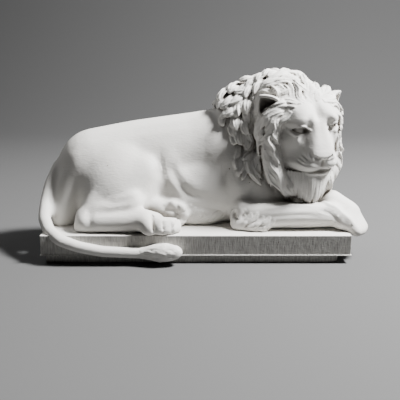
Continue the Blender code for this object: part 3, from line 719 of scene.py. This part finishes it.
# %% [markdown]
# ## Collar and ears
#
# A thick collar of hair stands out round the face, so its mass goes on before any lock.
# An ear is half an egg, hollowed, with its rim drawn up to a blunt point. The collar
# would fill it, so the skin that lies in the ear is pushed down to the ear's inner wall.
# A roll of hair at each temple then crosses the front of the ear.

# %% Collar
def collar(clay):
    clay.ball((-45, -6, 18), (29, 34, 32.5))
    clay.ball((-28, 0, 22), (16, 27, 19))
    for side in (1, -1):
        clay.ball((-34, 28 * side, 17), (14, 13, 14))
        clay.limb(((-30, 32 * side, 4), 11), ((-27, 34 * side, -18), 11),
                  ((-23, 31 * side, -42), 10.5), ((-17, 20 * side, -56), 8))
    clay.limb(((-12, 0, -46), (11, 18, 9)), ((-12, 0, -53), (6, 12, 7)))


print("collar shaped")

# %% Ears
EAR_ROOT = (-24.5, 38, 20.5)
EAR_RADII = (16, 12.5, 13)
EAR_WALL = 2.8
EAR_TURN = (-36, 6, 44)


def ear_axes(side):
    turn = turned(EAR_TURN[0] * side, EAR_TURN[1], EAR_TURN[2] * side)
    root = Vector((EAR_ROOT[0], EAR_ROOT[1] * side, EAR_ROOT[2]))
    return HEAD @ Matrix.LocRotScale(root, turn, None)


def ear(clay, side):
    piece = bmesh.new()
    bmesh.ops.create_uvsphere(piece, u_segments=32, v_segments=20, radius=1)
    everything = piece.verts[:] + piece.edges[:] + piece.faces[:]
    bmesh.ops.bisect_plane(piece, geom=everything, plane_co=(0.05, 0, 0), plane_no=(1, 0, 0),
                           clear_outer=True)
    bmesh.ops.scale(piece, vec=EAR_RADII, verts=piece.verts)
    for vert in piece.verts:
        rise = max(0, vert.co.z / EAR_RADII[2])
        vert.co.y *= 1 - 0.42 * rise**2
        vert.co.z += 2.5 * rise**2
        vert.co.x += 3 * rise**2
    bmesh.ops.recalc_face_normals(piece, faces=piece.faces)
    bmesh.ops.solidify(piece, geom=piece.faces, thickness=EAR_WALL)
    piece.transform(ear_axes(side))
    clay.add(piece)


def hollow_ear(mesh, side):
    axes = ear_axes(side)
    points = in_axes(points_of(mesh), axes.inverted()) / np.array(EAR_RADII)
    across = points[:, 1] ** 2 + points[:, 2] ** 2
    wall = -np.sqrt(np.clip(1 - across, 0, 1))
    inside = (across < 1) & (points[:, 0] > wall) & (points[:, 0] < 1.6)
    points[inside, 0] = wall[inside]
    move_points(mesh, in_axes(points * np.array(EAR_RADII), axes))


print("ears are", EAR_RADII, "with walls of", EAR_WALL)


# %% Skin under the hair
def temples(clay):
    """A roll of hair from the corner of the forehead down over the ear's front."""
    for side in (1, -1):
        clay.limb(((-20, 27 * side, 22), 4.5), ((-21, 31 * side, 16), 6.5), ((-25, 36 * side, 8), 9),
                  ((-29, 39 * side, -3), 9))


clay = Clay(HEAD)
collar(clay)
clay.add_mesh(body)
skin = knead(clay.mesh(), BODY_GRAIN, 4)
for side in (1, -1):
    hollow_ear(skin, side)
clay = Clay(HEAD)
temples(clay)
clay.add_mesh(skin)
skin = knead(clay.mesh(), BODY_GRAIN, 1)
print("skin under the hair:", len(skin.vertices), "points")

# %% [markdown]
# ## Hair
#
# A lock of the mane is a few round strands laid side by side. Its path walks over the skin
# in small steps, bending as it goes, so it always lies against the neck. The strands start
# close together with their roots in the skin, fill out to the lock's width and meet again
# at the tip, which stands proud and shades the root of the next lock. All strands are
# splines of one curve with a round bevel, and each point's radius is the strand's
# thickness there.

# %% A lock's shape
HAIR_SEED = 11
SKIN_GRAIN = 0.65
chance = np.random.default_rng(HAIR_SEED)


def lock_width(share):
    """Width along a lock: a narrow root, a full middle and a blunt tip."""
    return np.minimum(1, 0.45 + 1.6 * share) * (1 - share**4) ** 0.6


def lock_height(share):
    """Height along a lock: a sunk root, and a tip that stands proud."""
    return -0.15 + 1.35 * ease(0, 0.75, share)


print("widths along a lock:", lock_width(np.linspace(0, 1, 5)).round(2))


# %% Walking over the skin
def walk(ground, root, lie, length, curl, wave, steps):
    """Places along a path, the direction across it, and the skin's normal."""
    place, normal, _, _ = ground.tree.find_nearest(Vector(root))
    rows = []
    for step in range(steps):
        share = step / (steps - 1)
        ahead = Vector(lie(place, normal))
        ahead -= normal * ahead.dot(normal)
        ahead.normalize()
        turn = curl * (1.6 * share - 0.6) + wave * math.sin(7 * share + 9 * curl)
        ahead.rotate(Matrix.Rotation(turn, 3, normal).to_quaternion())
        rows.append((place, normal.cross(ahead).normalized(), normal))
        place, met, _, _ = ground.tree.find_nearest(place + ahead * length / (steps - 1))
        normal = (normal * 0.4 + met * 0.6).normalized()
    return (np.array(column) for column in zip(*rows))


print("a path can walk over any closed skin")


# %% Strands
class Strands:
    """Round strands on a ground, all splines of one curve."""

    def __init__(self, ground):
        self.ground = ground
        self.curve = bpy.data.curves.new("strands", "CURVE")
        self.curve.dimensions = "3D"
        self.curve.bevel_depth = 1
        self.curve.bevel_resolution = 2
        self.curve.use_fill_caps = True

    def lay(self, places, radii):
        spline = self.curve.splines.new("POLY")
        spline.points.add(len(places) - 1)
        spline.points.foreach_set("co", np.column_stack((places, np.ones(len(places)))).ravel())
        spline.points.foreach_set("radius", np.asarray(radii, float))

    def hang(self, root, tip, radius, sway, steps=12):
        """A strand from root to tip in the head's axes, swaying and ending in a point."""
        share = np.linspace(0, 1, steps)
        places = np.outer(1 - share, root) + np.outer(share, tip)
        places[:, 1] += sway * np.sin(5 * share) * share
        places[:, 0] += 1.6 * np.sin(np.pi * share)
        radii = radius * np.minimum(1, 0.7 + share) * (1 - share**4) ** 0.6 + 0.4
        self.lay(in_axes(places, HEAD), radii)

    def lock(self, root, lie, length, width, lift, curl, count=3, wave=0, steps=14):
        """A lock of strands laid side by side on the ground."""
        path, across, normals = walk(self.ground, root, lie, length, curl, wave, steps)
        share = np.linspace(0, 1, steps)
        spread = 0.5 * width * lock_width(share)
        radii = 0.53 * width / count * (0.75 + 0.25 * np.minimum(1, 3 * share))
        radii *= (1 - 0.75 * share**5)
        for strand in range(count):
            offset = (2 * strand + 1) / count - 1
            height = lift * lock_height(share) * (1 - 0.5 * offset**2) * chance.uniform(0.85, 1.15)
            places = path + across * (offset * spread)[:, None] + normals * height[:, None]
            self.lay(places, radii * chance.uniform(0.85, 1.1))


print("a strand is round, and 2 units thick at a radius of 1")


# %% Roots
def scatter(points, allowed, gaps):
    """Picks points in random order that keep their gaps from those picked before."""
    picked = []
    kept = np.empty((0, 3))
    for index in chance.permutation(np.nonzero(allowed)[0]):
        if len(picked) and np.min(np.sum((kept - points[index]) ** 2, axis=1)) < gaps[index] ** 2:
            continue
        picked.append(index)
        kept = np.vstack((kept, points[index]))
    return picked


def down_rows(rows):
    """Each row of each side, with the share of the way down."""
    return [(side, row / (rows - 1)) for side in (1, -1) for row in range(rows)]


def lie_along(*direction):
    """A lie that is the same everywhere."""
    return lambda place, normal: Vector(direction)


print("roots are drawn with the seed", HAIR_SEED)

# %% [markdown]
# ## Mane
#
# Round the face the hair hangs in long waves, over the crown it is combed back, and on
# the neck it falls in thick commas. One function of the place gives that lie everywhere,
# so neighbouring locks agree and still differ by their curl.

# %% How the hair lies
MANE_FOOT = 58


def collar_share(ahead, across):
    """1 on the collar round the face, 0 on the neck behind it."""
    return ease(-45, -38, ahead - 0.9 * np.maximum(0, np.abs(across) - 45))


def mane_lie(place, normal):
    spot = TO_HEAD @ place
    near = float(collar_share(spot.x, spot.y))
    crown = float(ease(4, 30, spot.z))
    side = 1 if spot.y > 0 else -1
    outward = 0.16 + 1.1 * crown - 0.3 * float(ease(-25, -50, spot.z))
    outward *= side * min(1, abs(spot.y) / 12)
    framing = HEAD.to_3x3() @ Vector((-0.12 - 1.1 * crown, outward, 0.9 * crown - 1))
    framing.normalize()
    upward = float(ease(0.3, 0.85, normal.z))
    falling = Vector((-0.25, 0, -1)).lerp(Vector((-1, -0.35, -0.3)), upward).normalized()
    return framing * near + falling * (1 - near)


def bare_face(spots):
    """Where the head's own skin and the ears stay free of hair."""
    bare = (spots[:, 1] / 31) ** 2 + ((spots[:, 2] + 9) / 37) ** 2 < 1
    bare &= spots[:, 0] > -32
    for side in (1, -1):
        root = np.array((EAR_ROOT[0] + 3, EAR_ROOT[1] * side, EAR_ROOT[2]))
        bare |= np.linalg.norm(spots - root, axis=1) < 13
    return bare


print("the neck's hair ends", MANE_FOOT, "units above the plinth")


# %% Locks of the neck and collar
def neck_locks(strands):
    """Thick commas on the neck and over the crown."""
    points = strands.ground.points
    spots = in_axes(points, TO_HEAD)
    collared = collar_share(spots[:, 0], spots[:, 1])
    inside = points[:, 0] - 29 - 0.29 * (118 - points[:, 2])
    rear = ease(14, 2, inside)
    allowed = (inside > 0) & ~bare_face(spots) & (points[:, 2] > MANE_FOOT + 6)
    allowed &= (collared < 0.5) | (spots[:, 2] > 12)
    foot = ease(100, 70, points[:, 2])
    for index in scatter(points * (1, 1, 0.8), allowed, 7.4 - 1.4 * collared - 0.6 * foot):
        near = collared[index]
        length = (22 + 6 * near + 2 * foot[index]) * chance.uniform(0.88, 1.12)
        width = (12 - 3.6 * near - 4 * foot[index]) * chance.uniform(0.88, 1.12)
        curl = chance.choice((-1, 1, 1)) * chance.uniform(0.7, 1.2) * (1 - 0.5 * near - 0.6 * foot[index])
        lift = (4.2 - 1.2 * near - 2 * foot[index]) * chance.uniform(0.6, 1.2)
        size = 1 - 0.35 * rear[index]
        strands.lock(points[index], mane_lie, size * length, size * width, size * lift, curl,
                     4 if near + foot[index] < 0.5 else 3, wave=0.3 * near)


def collar_locks(strands, rings=5, rows=19):
    """Rings of long waves set round the face."""
    for ring in range(rings):
        for side in (1, -1):
            for row in range(rows):
                lowest = -62 + 13 * ring
                angle = math.radians(lowest + (50 - lowest) * (row + 0.5 * (ring % 2)) / (rows - 1))
                height = -9 + (36 + 2 * ring) * math.sin(angle)
                across = (30 + 4 * ring) * math.cos(angle)
                root = HEAD @ Vector((-12 - 6 * ring - 5 * math.cos(angle), across * side, height))
                length = (20 + (30 - 5 * ring) * float(ease(-40, 0, -height))) * chance.uniform(0.8, 1.1)
                width, lift = chance.uniform(5.5, 8), chance.uniform(1.2, 4)
                strands.lock(root, mane_lie, length, width, lift,
                             0.3 * chance.choice((-1, 1)), wave=0.55, steps=20)


print("two kinds of lock ready, for neck and collar")


# %% Locks of the ears, forehead and temples
def ear_locks(strands, rows=9):
    """Locks that come down from behind and below each ear, over the collar's back."""
    for side, fall in down_rows(rows):
        root = HEAD @ Vector((-36 + 12 * fall, (45 + 3 * fall) * side, 14 - 10 * fall))
        strands.lock(root, mane_lie, 30 * chance.uniform(0.85, 1.15), 6, 2.2,
                     0.4 * chance.choice((-1, 1)), wave=0.4)


def forehead_locks(strands, rows=15):
    """Locks that rise from the hairline and fall back over the crown."""
    for row in range(rows):
        across = 19 * (2 * row / (rows - 1) - 1)
        height = 26 - 0.014 * across**2 + chance.uniform(-1.5, 1)
        root = HEAD @ Vector((-9 - 0.02 * across**2, across, height))
        lie = HEAD.to_3x3() @ Vector((-0.8, 0.03 * across, 1))
        length, lift = 28 * chance.uniform(0.8, 1.2), chance.uniform(2, 4.4)
        strands.lock(root, lie_along(*lie), length, 6.4, lift,
                     0.5 * chance.choice((-1, 1)), wave=0.5)


def temple_locks(strands, rows=14):
    """Locks from the hairline's corner, swept down over the front of the ear."""
    for side, fall in down_rows(rows):
        root = HEAD @ Vector((-12 - 4 * fall, (17 + 13 * fall) * side, 27 - 25 * fall))
        lie = HEAD.to_3x3() @ Vector((-0.55, (1 - 0.55 * fall) * side, -0.35 - 0.8 * fall))
        length = (30 + 8 * fall) * chance.uniform(0.85, 1.15)
        strands.lock(root, lie_along(*lie), length, 6.6, 2,
                     0.4 * chance.choice((-1, 1)), wave=0.35)


print("three kinds of lock ready, for ears, forehead and temples")

# %% Lay the mane
skin = knead(skin, SKIN_GRAIN, 4)
carve(skin, AT_FLANK, FOOT_STROKES)
clay = Clay()
clay.add_mesh(skin)
clay.add_mesh(face)
strands = Strands(Ground(knead(clay.mesh(), SKIN_GRAIN, 4)))
for lay_locks in (neck_locks, collar_locks, temple_locks, ear_locks, forehead_locks):
    lay_locks(strands)
    print(lay_locks.__name__, "done, strands:", len(strands.curve.splines))

# %% [markdown]
# ## Fringes
#
# Shorter hair hangs along the belly, at the elbow and at the tail's end. Its locks are
# thinner and lie closer to the skin than the mane's. Each fringe has a path, how far from
# it the roots may lie, the gap between them, then a lock's length, width, lift and lie.

# %% Fringes and the tail's tuft
def fringe(strands, path, reach, gap, length, width, lift, lie):
    """Short locks rooted near a path. Returns their number."""
    points = strands.ground.points
    away, _ = distance_along(points, np.array(path, float))
    roots = scatter(points, away < reach, np.full(len(points), gap))
    for index in roots:
        strands.lock(points[index], lie, length * chance.uniform(0.75, 1.2), width,
                     lift * chance.uniform(0.6, 1.2), 0.5 * chance.choice((-1, 1)), wave=0.2, steps=8)
    return len(roots)


fringes = [
    ("belly", ((-6, -28, 16), (12, -22, 11), (32, -22, 9)), 8, 4.6,
     13, 4.2, 0.3, lie_along(-0.8, -0.2, -0.8)),
    ("elbow", ((44, -44, 14), (54, -49, 12), (68, -50, 10)), 9, 4.4,
     14, 4.8, 1.2, lie_along(-0.8, -0.5, -0.8)),
    ("tuft", ((-46, -69, -15), (-24, -69, -15)), 9, 3.6, 18, 4.6, 0.9, lie_along(1, 0, 0.1)),
]
for name, *shape in fringes:
    print(name, "fringe:", fringe(strands, *shape), "locks")

# %% [markdown]
# ## Beard
#
# The beard and the collar's lowest tips hang free of the skin, as single strands. In the
# beard, neighbours share a tip, which draws them together into pointed bunches.

# %% Beard
def beard(strands, rows=24, half_width=27, bunch=5.5):
    """Three rows of strands under the lip, drawn together into pointed bunches."""
    for back in range(3):
        for row in range(rows):
            across = half_width * (2 * (row + 0.5 * (back % 2)) / (rows - 1) - 1)
            root = (2.5 - 0.022 * across**2 - 3.5 * back, across + 1,
                    -41.5 + 0.004 * across**2 - 2.5 * back)
            middle = bunch * round(across / bunch)
            drop = (32 - 0.012 * middle**2) * chance.uniform(0.95, 1.03)
            tip = (root[0] - 3, 0.76 * middle + 0.35 * (across - middle), root[2] - drop + 2.5 * back)
            strands.hang(root, tip, chance.uniform(1.2, 1.8), chance.uniform(-1, 1))


def collar_tips(strands, rows=16):
    """Tips that hang from the collar's lower edge, from cheek to beard."""
    for side, fall in down_rows(rows):
        root = (-26 + 12 * fall, (41 - 17 * fall) * side, -38 - 12 * fall)
        tip = (root[0] + 4, root[1] - 6 * side, root[2] - chance.uniform(12, 19))
        strands.hang(root, tip, chance.uniform(1.4, 2.2), chance.uniform(-1.2, 1.2))


beard(strands)
collar_tips(strands)
print("all strands:", len(strands.curve.splines))

# %% [markdown]
# ## Plinth
#
# The plinth is a plain slab on a lower band that is set back under it, with a thin ledge
# where they meet. At the paws' end the band's corners are rounded off.

# %% Plinth
BAND_HEIGHT = 7.6
LEDGE_HEIGHT = 1.2
LEDGE_PROUD = 0.8
BAND_INSETS = (4, 10, 3)
BAND_CORNER = 10
EDGE_WEAR = 0.45


def upright_edges(piece, x):
    return [edge for edge in piece.edges
            if all(abs(vert.co.x - x) < 1e-3 for vert in edge.verts)
            and abs(edge.verts[0].co.y - edge.verts[1].co.y) < 1e-3]


def slab(insets, foot, top, corner=0):
    """A block with softened edges, set in at the tail's end, the paws' end and the sides."""
    piece = bmesh.new()
    made = bmesh.ops.create_cube(piece, size=1)
    tail_end, paws_end, sides = insets
    low_corner = Vector((tail_end - PLINTH_LENGTH / 2, sides - PLINTH_DEPTH / 2, foot))
    high_corner = Vector((PLINTH_LENGTH / 2 - paws_end, PLINTH_DEPTH / 2 - sides, top))
    bmesh.ops.scale(piece, vec=high_corner - low_corner, verts=made["verts"])
    bmesh.ops.translate(piece, vec=(high_corner + low_corner) / 2, verts=made["verts"])
    if corner:
        bmesh.ops.bevel(piece, geom=upright_edges(piece, high_corner.x), offset=corner,
                        segments=6, profile=0.5, affect="EDGES", material=-1)
    sharp = [edge for edge in piece.edges if edge.calc_face_angle() > 0.5]
    bmesh.ops.bevel(piece, geom=sharp, offset=EDGE_WEAR, segments=2, profile=0.5,
                    affect="EDGES", material=-1)
    return piece


def plinth(clay):
    ledge = BAND_HEIGHT - PLINTH_HEIGHT
    clay.add(slab((0, 0, 0), ledge, 0))
    clay.add(slab((-LEDGE_PROUD,) * 3, ledge, ledge + LEDGE_HEIGHT))
    clay.add(slab(BAND_INSETS, -PLINTH_HEIGHT, ledge + LEDGE_HEIGHT, BAND_CORNER))


print("plinth:", PLINTH_LENGTH, "by", PLINTH_DEPTH, "by", PLINTH_HEIGHT, "units")

# %% [markdown]
# ## One casting
#
# Lion, hair, face and ears are fused once more, finely, because the real thing came out
# of one mould. Fusing softens the grooves between strands, so they are cut deeper again:
# the skin is compared with a smoothed copy of itself, and what stands out or lies deep is
# pushed further the same way. A Decimate modifier then thins the plain skin most. The
# plinth needs none of this, so it is joined to the same mesh at the end, edges crisp.

# %% Fuse the casting
CAST_GRAIN = 0.6

clay = Clay()
for part in (skin, evaluated(strands.curve), face):
    clay.add_mesh(part)
for side in (1, -1):
    ear(clay, side)
casting = knead(clay.mesh(), CAST_GRAIN, 1)
print("casting:", len(casting.vertices), "points")

# %% Where the hair is
def fringe_share(points):
    """1 at the fringes and the tail's tuft, 0 elsewhere."""
    share = np.zeros(len(points))
    for _, path, reach, *_ in fringes:
        away, _ = distance_along(points, np.array(path, float))
        share = np.maximum(share, ease(reach + 9, reach + 3, away))
    return share


def hair_share(points):
    """1 in the mane and collar, 0 on the bare skin and the face."""
    spots = in_axes(points, TO_HEAD)
    maned = ease(14, 26, points[:, 0] + 0.42 * (points[:, 2] - 112))
    maned *= ease(18, 30, points[:, 2])
    oval = np.sqrt((spots[:, 1] / 28) ** 2 + ((spots[:, 2] + 9) / 35) ** 2)
    bare = (1 - ease(0.95, 1.08, oval)) * ease(-30, -24, spots[:, 0])
    return np.maximum(maned * (1 - bare), fringe_share(points))


points = points_of(casting)
share = hair_share(points)
print("hair covers", round(100 * float(share.mean())), "% of the points")

# %% Deepen the relief
DEEPENED_BY = 0.9

deeper = (points - points_of(knead(casting, None, 10))) * (DEEPENED_BY * share)[:, None]
move_points(casting, points + deeper)
print("deepest cut added:", round(float(np.abs(deeper).max()), 2), "units")

# %% Thin the mesh
CASTING_FACES = 194000


def thin_out(mesh, faces, keep):
    """Fewer, larger faces, with more of them left where keep is near 1."""
    bench = bpy.data.objects.new("weights", mesh)
    group = bench.vertex_groups.new(name="plain")
    levels = np.round(10 - 9 * keep).astype(int)
    for level in range(1, 11):
        group.add(np.nonzero(levels == level)[0].tolist(), level / 10, "REPLACE")
    bpy.data.objects.remove(bench)

    def set_up(modifiers):
        thin = modifiers.new("thin", "DECIMATE")
        mesh.calc_loop_triangles()
        thin.ratio = faces / len(mesh.loop_triangles)
        thin.use_collapse_triangulate = True
        thin.vertex_group = "plain"
        thin.vertex_group_factor = 1.5
    return evaluated(mesh, set_up)


points = points_of(casting)
spots = in_axes(points, TO_HEAD)
face_share = ease(-34, -14, spots[:, 0]) * ease(-60, -44, spots[:, 2])
keep = np.maximum(face_share, 0.85 * hair_share(points))
casting = thin_out(casting, CASTING_FACES, keep)
print("lion thinned to", len(casting.polygons), "triangles")

# %% [markdown]
# ## Plaster
#
# Dry casting plaster is matte and just off white. It isn't even: a fine grain shows
# everywhere, and the coat was brushed down the plinth's sides. Shade is painted into the
# colour too. Rays are cast from each point of the lion, and the share of them that soon
# meets the casting again is stored on the mesh as an attribute, which the plaster's colour
# reads to paint shade into the hollows. The pinholes get the same painted shade, and the
# brush streaks darken the plinth's upright sides, partly as real streaks and partly as
# painted shade. The plinth stores a value below nought, which marks it for the brush.

# %% How hollow each point is
HOLLOW = "hollow"
HOLLOW_RAYS = 12
HOLLOW_REACH = 16
HOLLOW_RANGE = (0.1, 0.75)
GOLDEN_TURN = 2.399963
RAY_LIFT = 0.25
RAY_SPREAD = 0.95


def ray_offsets():
    """Directions spread evenly over a ball, added to a normal to spread its rays."""
    turns = np.arange(HOLLOW_RAYS) * GOLDEN_TURN
    heights = (np.arange(HOLLOW_RAYS) + 0.5) / HOLLOW_RAYS * 2 - 1
    rounds = np.sqrt(1 - heights**2)
    return np.column_stack((rounds * np.cos(turns), rounds * np.sin(turns), heights))


# the stored share paints shade into the plaster's colour in the hollows
def store_hollows(mesh):
    """Stores how shut in each point is: 0 in the open, 1 deep in a hollow."""
    ground = Ground(mesh)
    rays = ray_offsets()
    hollow = np.zeros(len(mesh.vertices), np.float32)
    for index, (point, normal) in enumerate(zip(ground.points, ground.normals)):
        start = Vector(point + RAY_LIFT * normal)
        met = [ground.tree.ray_cast(start, Vector(normal + RAY_SPREAD * ray), HOLLOW_REACH)[3]
               for ray in rays]
        met = [1 - 0.6 * gap / HOLLOW_REACH for gap in met if gap is not None]
        hollow[index] = sum(met) / HOLLOW_RAYS
    store(mesh, ease(*HOLLOW_RANGE, hollow))
    return hollow.mean()


def store(mesh, values):
    layer = mesh.attributes.new(HOLLOW, "FLOAT", "POINT")
    layer.data.foreach_set("value", np.asarray(values, np.float32))


print("mean share of rays that meet the casting:", round(float(store_hollows(casting)), 3))

# %% Join the plinth
ON_PLINTH = -1

casting.shade_smooth()
clay = Clay()
plinth(clay)
plinth_mesh = clay.mesh()
store(plinth_mesh, np.full(len(plinth_mesh.vertices), ON_PLINTH))
clay = Clay()
for part in (plinth_mesh, casting):
    clay.add_mesh(part)
casting = clay.mesh()
print("with the plinth:", len(casting.polygons), "faces")


# %% Node recipes
class Recipe:
    """A material's nodes, with short ways to add them and join them."""

    def __init__(self, material):
        self.nodes = material.node_tree.nodes
        self.links = material.node_tree.links
        self.where = self.nodes.new("ShaderNodeTexCoord")

    def feed(self, socket, value):
        """Gives a socket a value, or links it to another node's output."""
        if isinstance(value, bpy.types.NodeSocket):
            self.links.new(value, socket)
        else:
            socket.default_value = value

    def add(self, kind, feeds, **settings):
        node = self.nodes.new(kind)
        for name, value in settings.items():
            setattr(node, name, value)
        for name, value in feeds.items():
            self.feed(node.inputs[name], value)
        return node

    def number(self, operation, first, second=0):
        return self.add("ShaderNodeMath", {0: first, 1: second}, operation=operation).outputs["Value"]

    def noise(self, scales, detail):
        """Noise on the object's own coordinates, with a scale for each axis."""
        spread = self.add("ShaderNodeMapping", {"Vector": self.where.outputs["Object"], "Scale": scales})
        feeds = {"Vector": spread.outputs["Vector"], "Scale": 1, "Detail": detail}
        return self.add("ShaderNodeTexNoise", feeds).outputs["Fac"]

    def blend(self, amount, first, second):
        feeds = {"Factor": amount, "A": first, "B": second}
        return self.add("ShaderNodeMix", feeds, data_type="RGBA").outputs["Result"]

    def height_of(self, output):
        """The z of a place or a direction."""
        return self.add("ShaderNodeSeparateXYZ", {"Vector": self.where.outputs[output]}).outputs["Z"]


print("recipes ready: feed, number, noise, blend")

# %% Marks on the plaster
PINHOLE_CELLS = 150
PINHOLE_SHARE = 0.06
PINHOLE_SIZE = 0.09
BRUSH_SCALES = (900, 900, 150)
STEEP = 0.4
RIM = 0.2


# the pits also darken the plaster's colour, as painted shade
def pinholes(recipe):
    """Small round pits where air was caught against the mould."""
    feeds = {"Scale": PINHOLE_CELLS, "Vector": recipe.where.outputs["Object"]}
    cells = recipe.add("ShaderNodeTexVoronoi", feeds)
    lot = recipe.add("ShaderNodeSeparateColor", {"Color": cells.outputs["Color"]})
    drawn = recipe.number("GREATER_THAN", lot.outputs["Red"], 1 - PINHOLE_SHARE)
    pit = recipe.number("LESS_THAN", cells.outputs["Distance"], PINHOLE_SIZE)
    return recipe.number("MULTIPLY", drawn, pit)


# the streaks are real; their dark tone on the upright sides is partly painted shade
def brush_streaks_and_side_shade(recipe, depth):
    """Streaks down the plinth's upright sides, where the brush was drawn."""
    low = recipe.number("LESS_THAN", recipe.height_of("Object"), (PLINTH_HEIGHT - RIM) * UNIT)
    steep = recipe.number("LESS_THAN", recipe.number("ABSOLUTE", recipe.height_of("Normal")), STEEP)
    on_plinth = recipe.number("LESS_THAN", depth, 0.5 * ON_PLINTH)
    brushed = recipe.number("MULTIPLY", recipe.number("MULTIPLY", low, steep), on_plinth)
    return recipe.number("MULTIPLY", brushed, recipe.noise(BRUSH_SCALES, 4))


print("one cell in", round(1 / PINHOLE_SHARE), "has a pinhole")

# %% Plaster
PLASTER = (0.64, 0.63, 0.605, 1)
AGED_PLASTER = (0.58, 0.56, 0.525, 1)
# painted shade: the dark tone laid in the hollows and in the pinholes
PAINTED_SHADE = (0.16, 0.135, 0.11, 1)
# the tone of the brush streaks on the plinth's upright sides: partly real streaks, partly painted shade
BRUSH_STREAKS_AND_SHADE = (0.10, 0.095, 0.085, 1)
PATCH_SCALES = (26, 26, 26)
GRAIN_SCALES = (1600, 1600, 1600)
FUR_SCALES = (260, 500, 620)
GRAIN_HEIGHT = 0.2
BRUSH_HEIGHT = 1.5
RELIEF = 0.0004
ROUGHNESS = 0.72


def plaster():
    material, shader = shaded("plaster")
    recipe = Recipe(material)
    depth = recipe.add("ShaderNodeAttribute", {}, attribute_name=HOLLOW).outputs["Fac"]
    streaks_and_side_shade = brush_streaks_and_side_shade(recipe, depth)
    holes = pinholes(recipe)

    colour = recipe.blend(recipe.noise(PATCH_SCALES, 4), PLASTER, AGED_PLASTER)
    # painted shade in the hollows and the pinholes; on the plinth's upright sides the streaks are partly
    # real and partly painted shade
    for amount, tone in ((depth, PAINTED_SHADE), (streaks_and_side_shade, BRUSH_STREAKS_AND_SHADE), (holes, PAINTED_SHADE)):
        colour = recipe.blend(amount, colour, tone)
    recipe.feed(shader.inputs["Base Color"], colour)
    shader.inputs["Roughness"].default_value = ROUGHNESS

    # a fine grain, fur no deeper than a scratch, the brush's ridges and the pits
    height = recipe.number("MULTIPLY", recipe.noise(GRAIN_SCALES, 3), GRAIN_HEIGHT)
    height = recipe.number("ADD", height, recipe.noise(FUR_SCALES, 3))
    height = recipe.number("ADD", height, recipe.number("MULTIPLY", streaks_and_side_shade, BRUSH_HEIGHT))
    height = recipe.number("SUBTRACT", height, holes)
    bump = recipe.add("ShaderNodeBump", {"Strength": 0.5, "Distance": RELIEF, "Height": height})
    recipe.feed(shader.inputs["Normal"], bump.outputs["Normal"])
    print("plaster has", len(recipe.nodes), "nodes")
    return material


casting.materials.clear()
casting.materials.append(plaster())

# %% [markdown]
# ## Place
#
# The mesh itself is scaled to metres and raised by the plinth's height, so the object
# keeps its origin at the centre of the underside, as the solid it stands for does.

# %% Place the casting
place = Matrix.Translation((0, 0, PLINTH_HEIGHT * UNIT)) @ Matrix.Scale(UNIT, 4)
casting.transform(place)
lion = into_scene("cast_lion", casting)
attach(lion, "root")
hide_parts(CASTING)
print("cast lion:", [round(value, 4) for value in lion.dimensions])
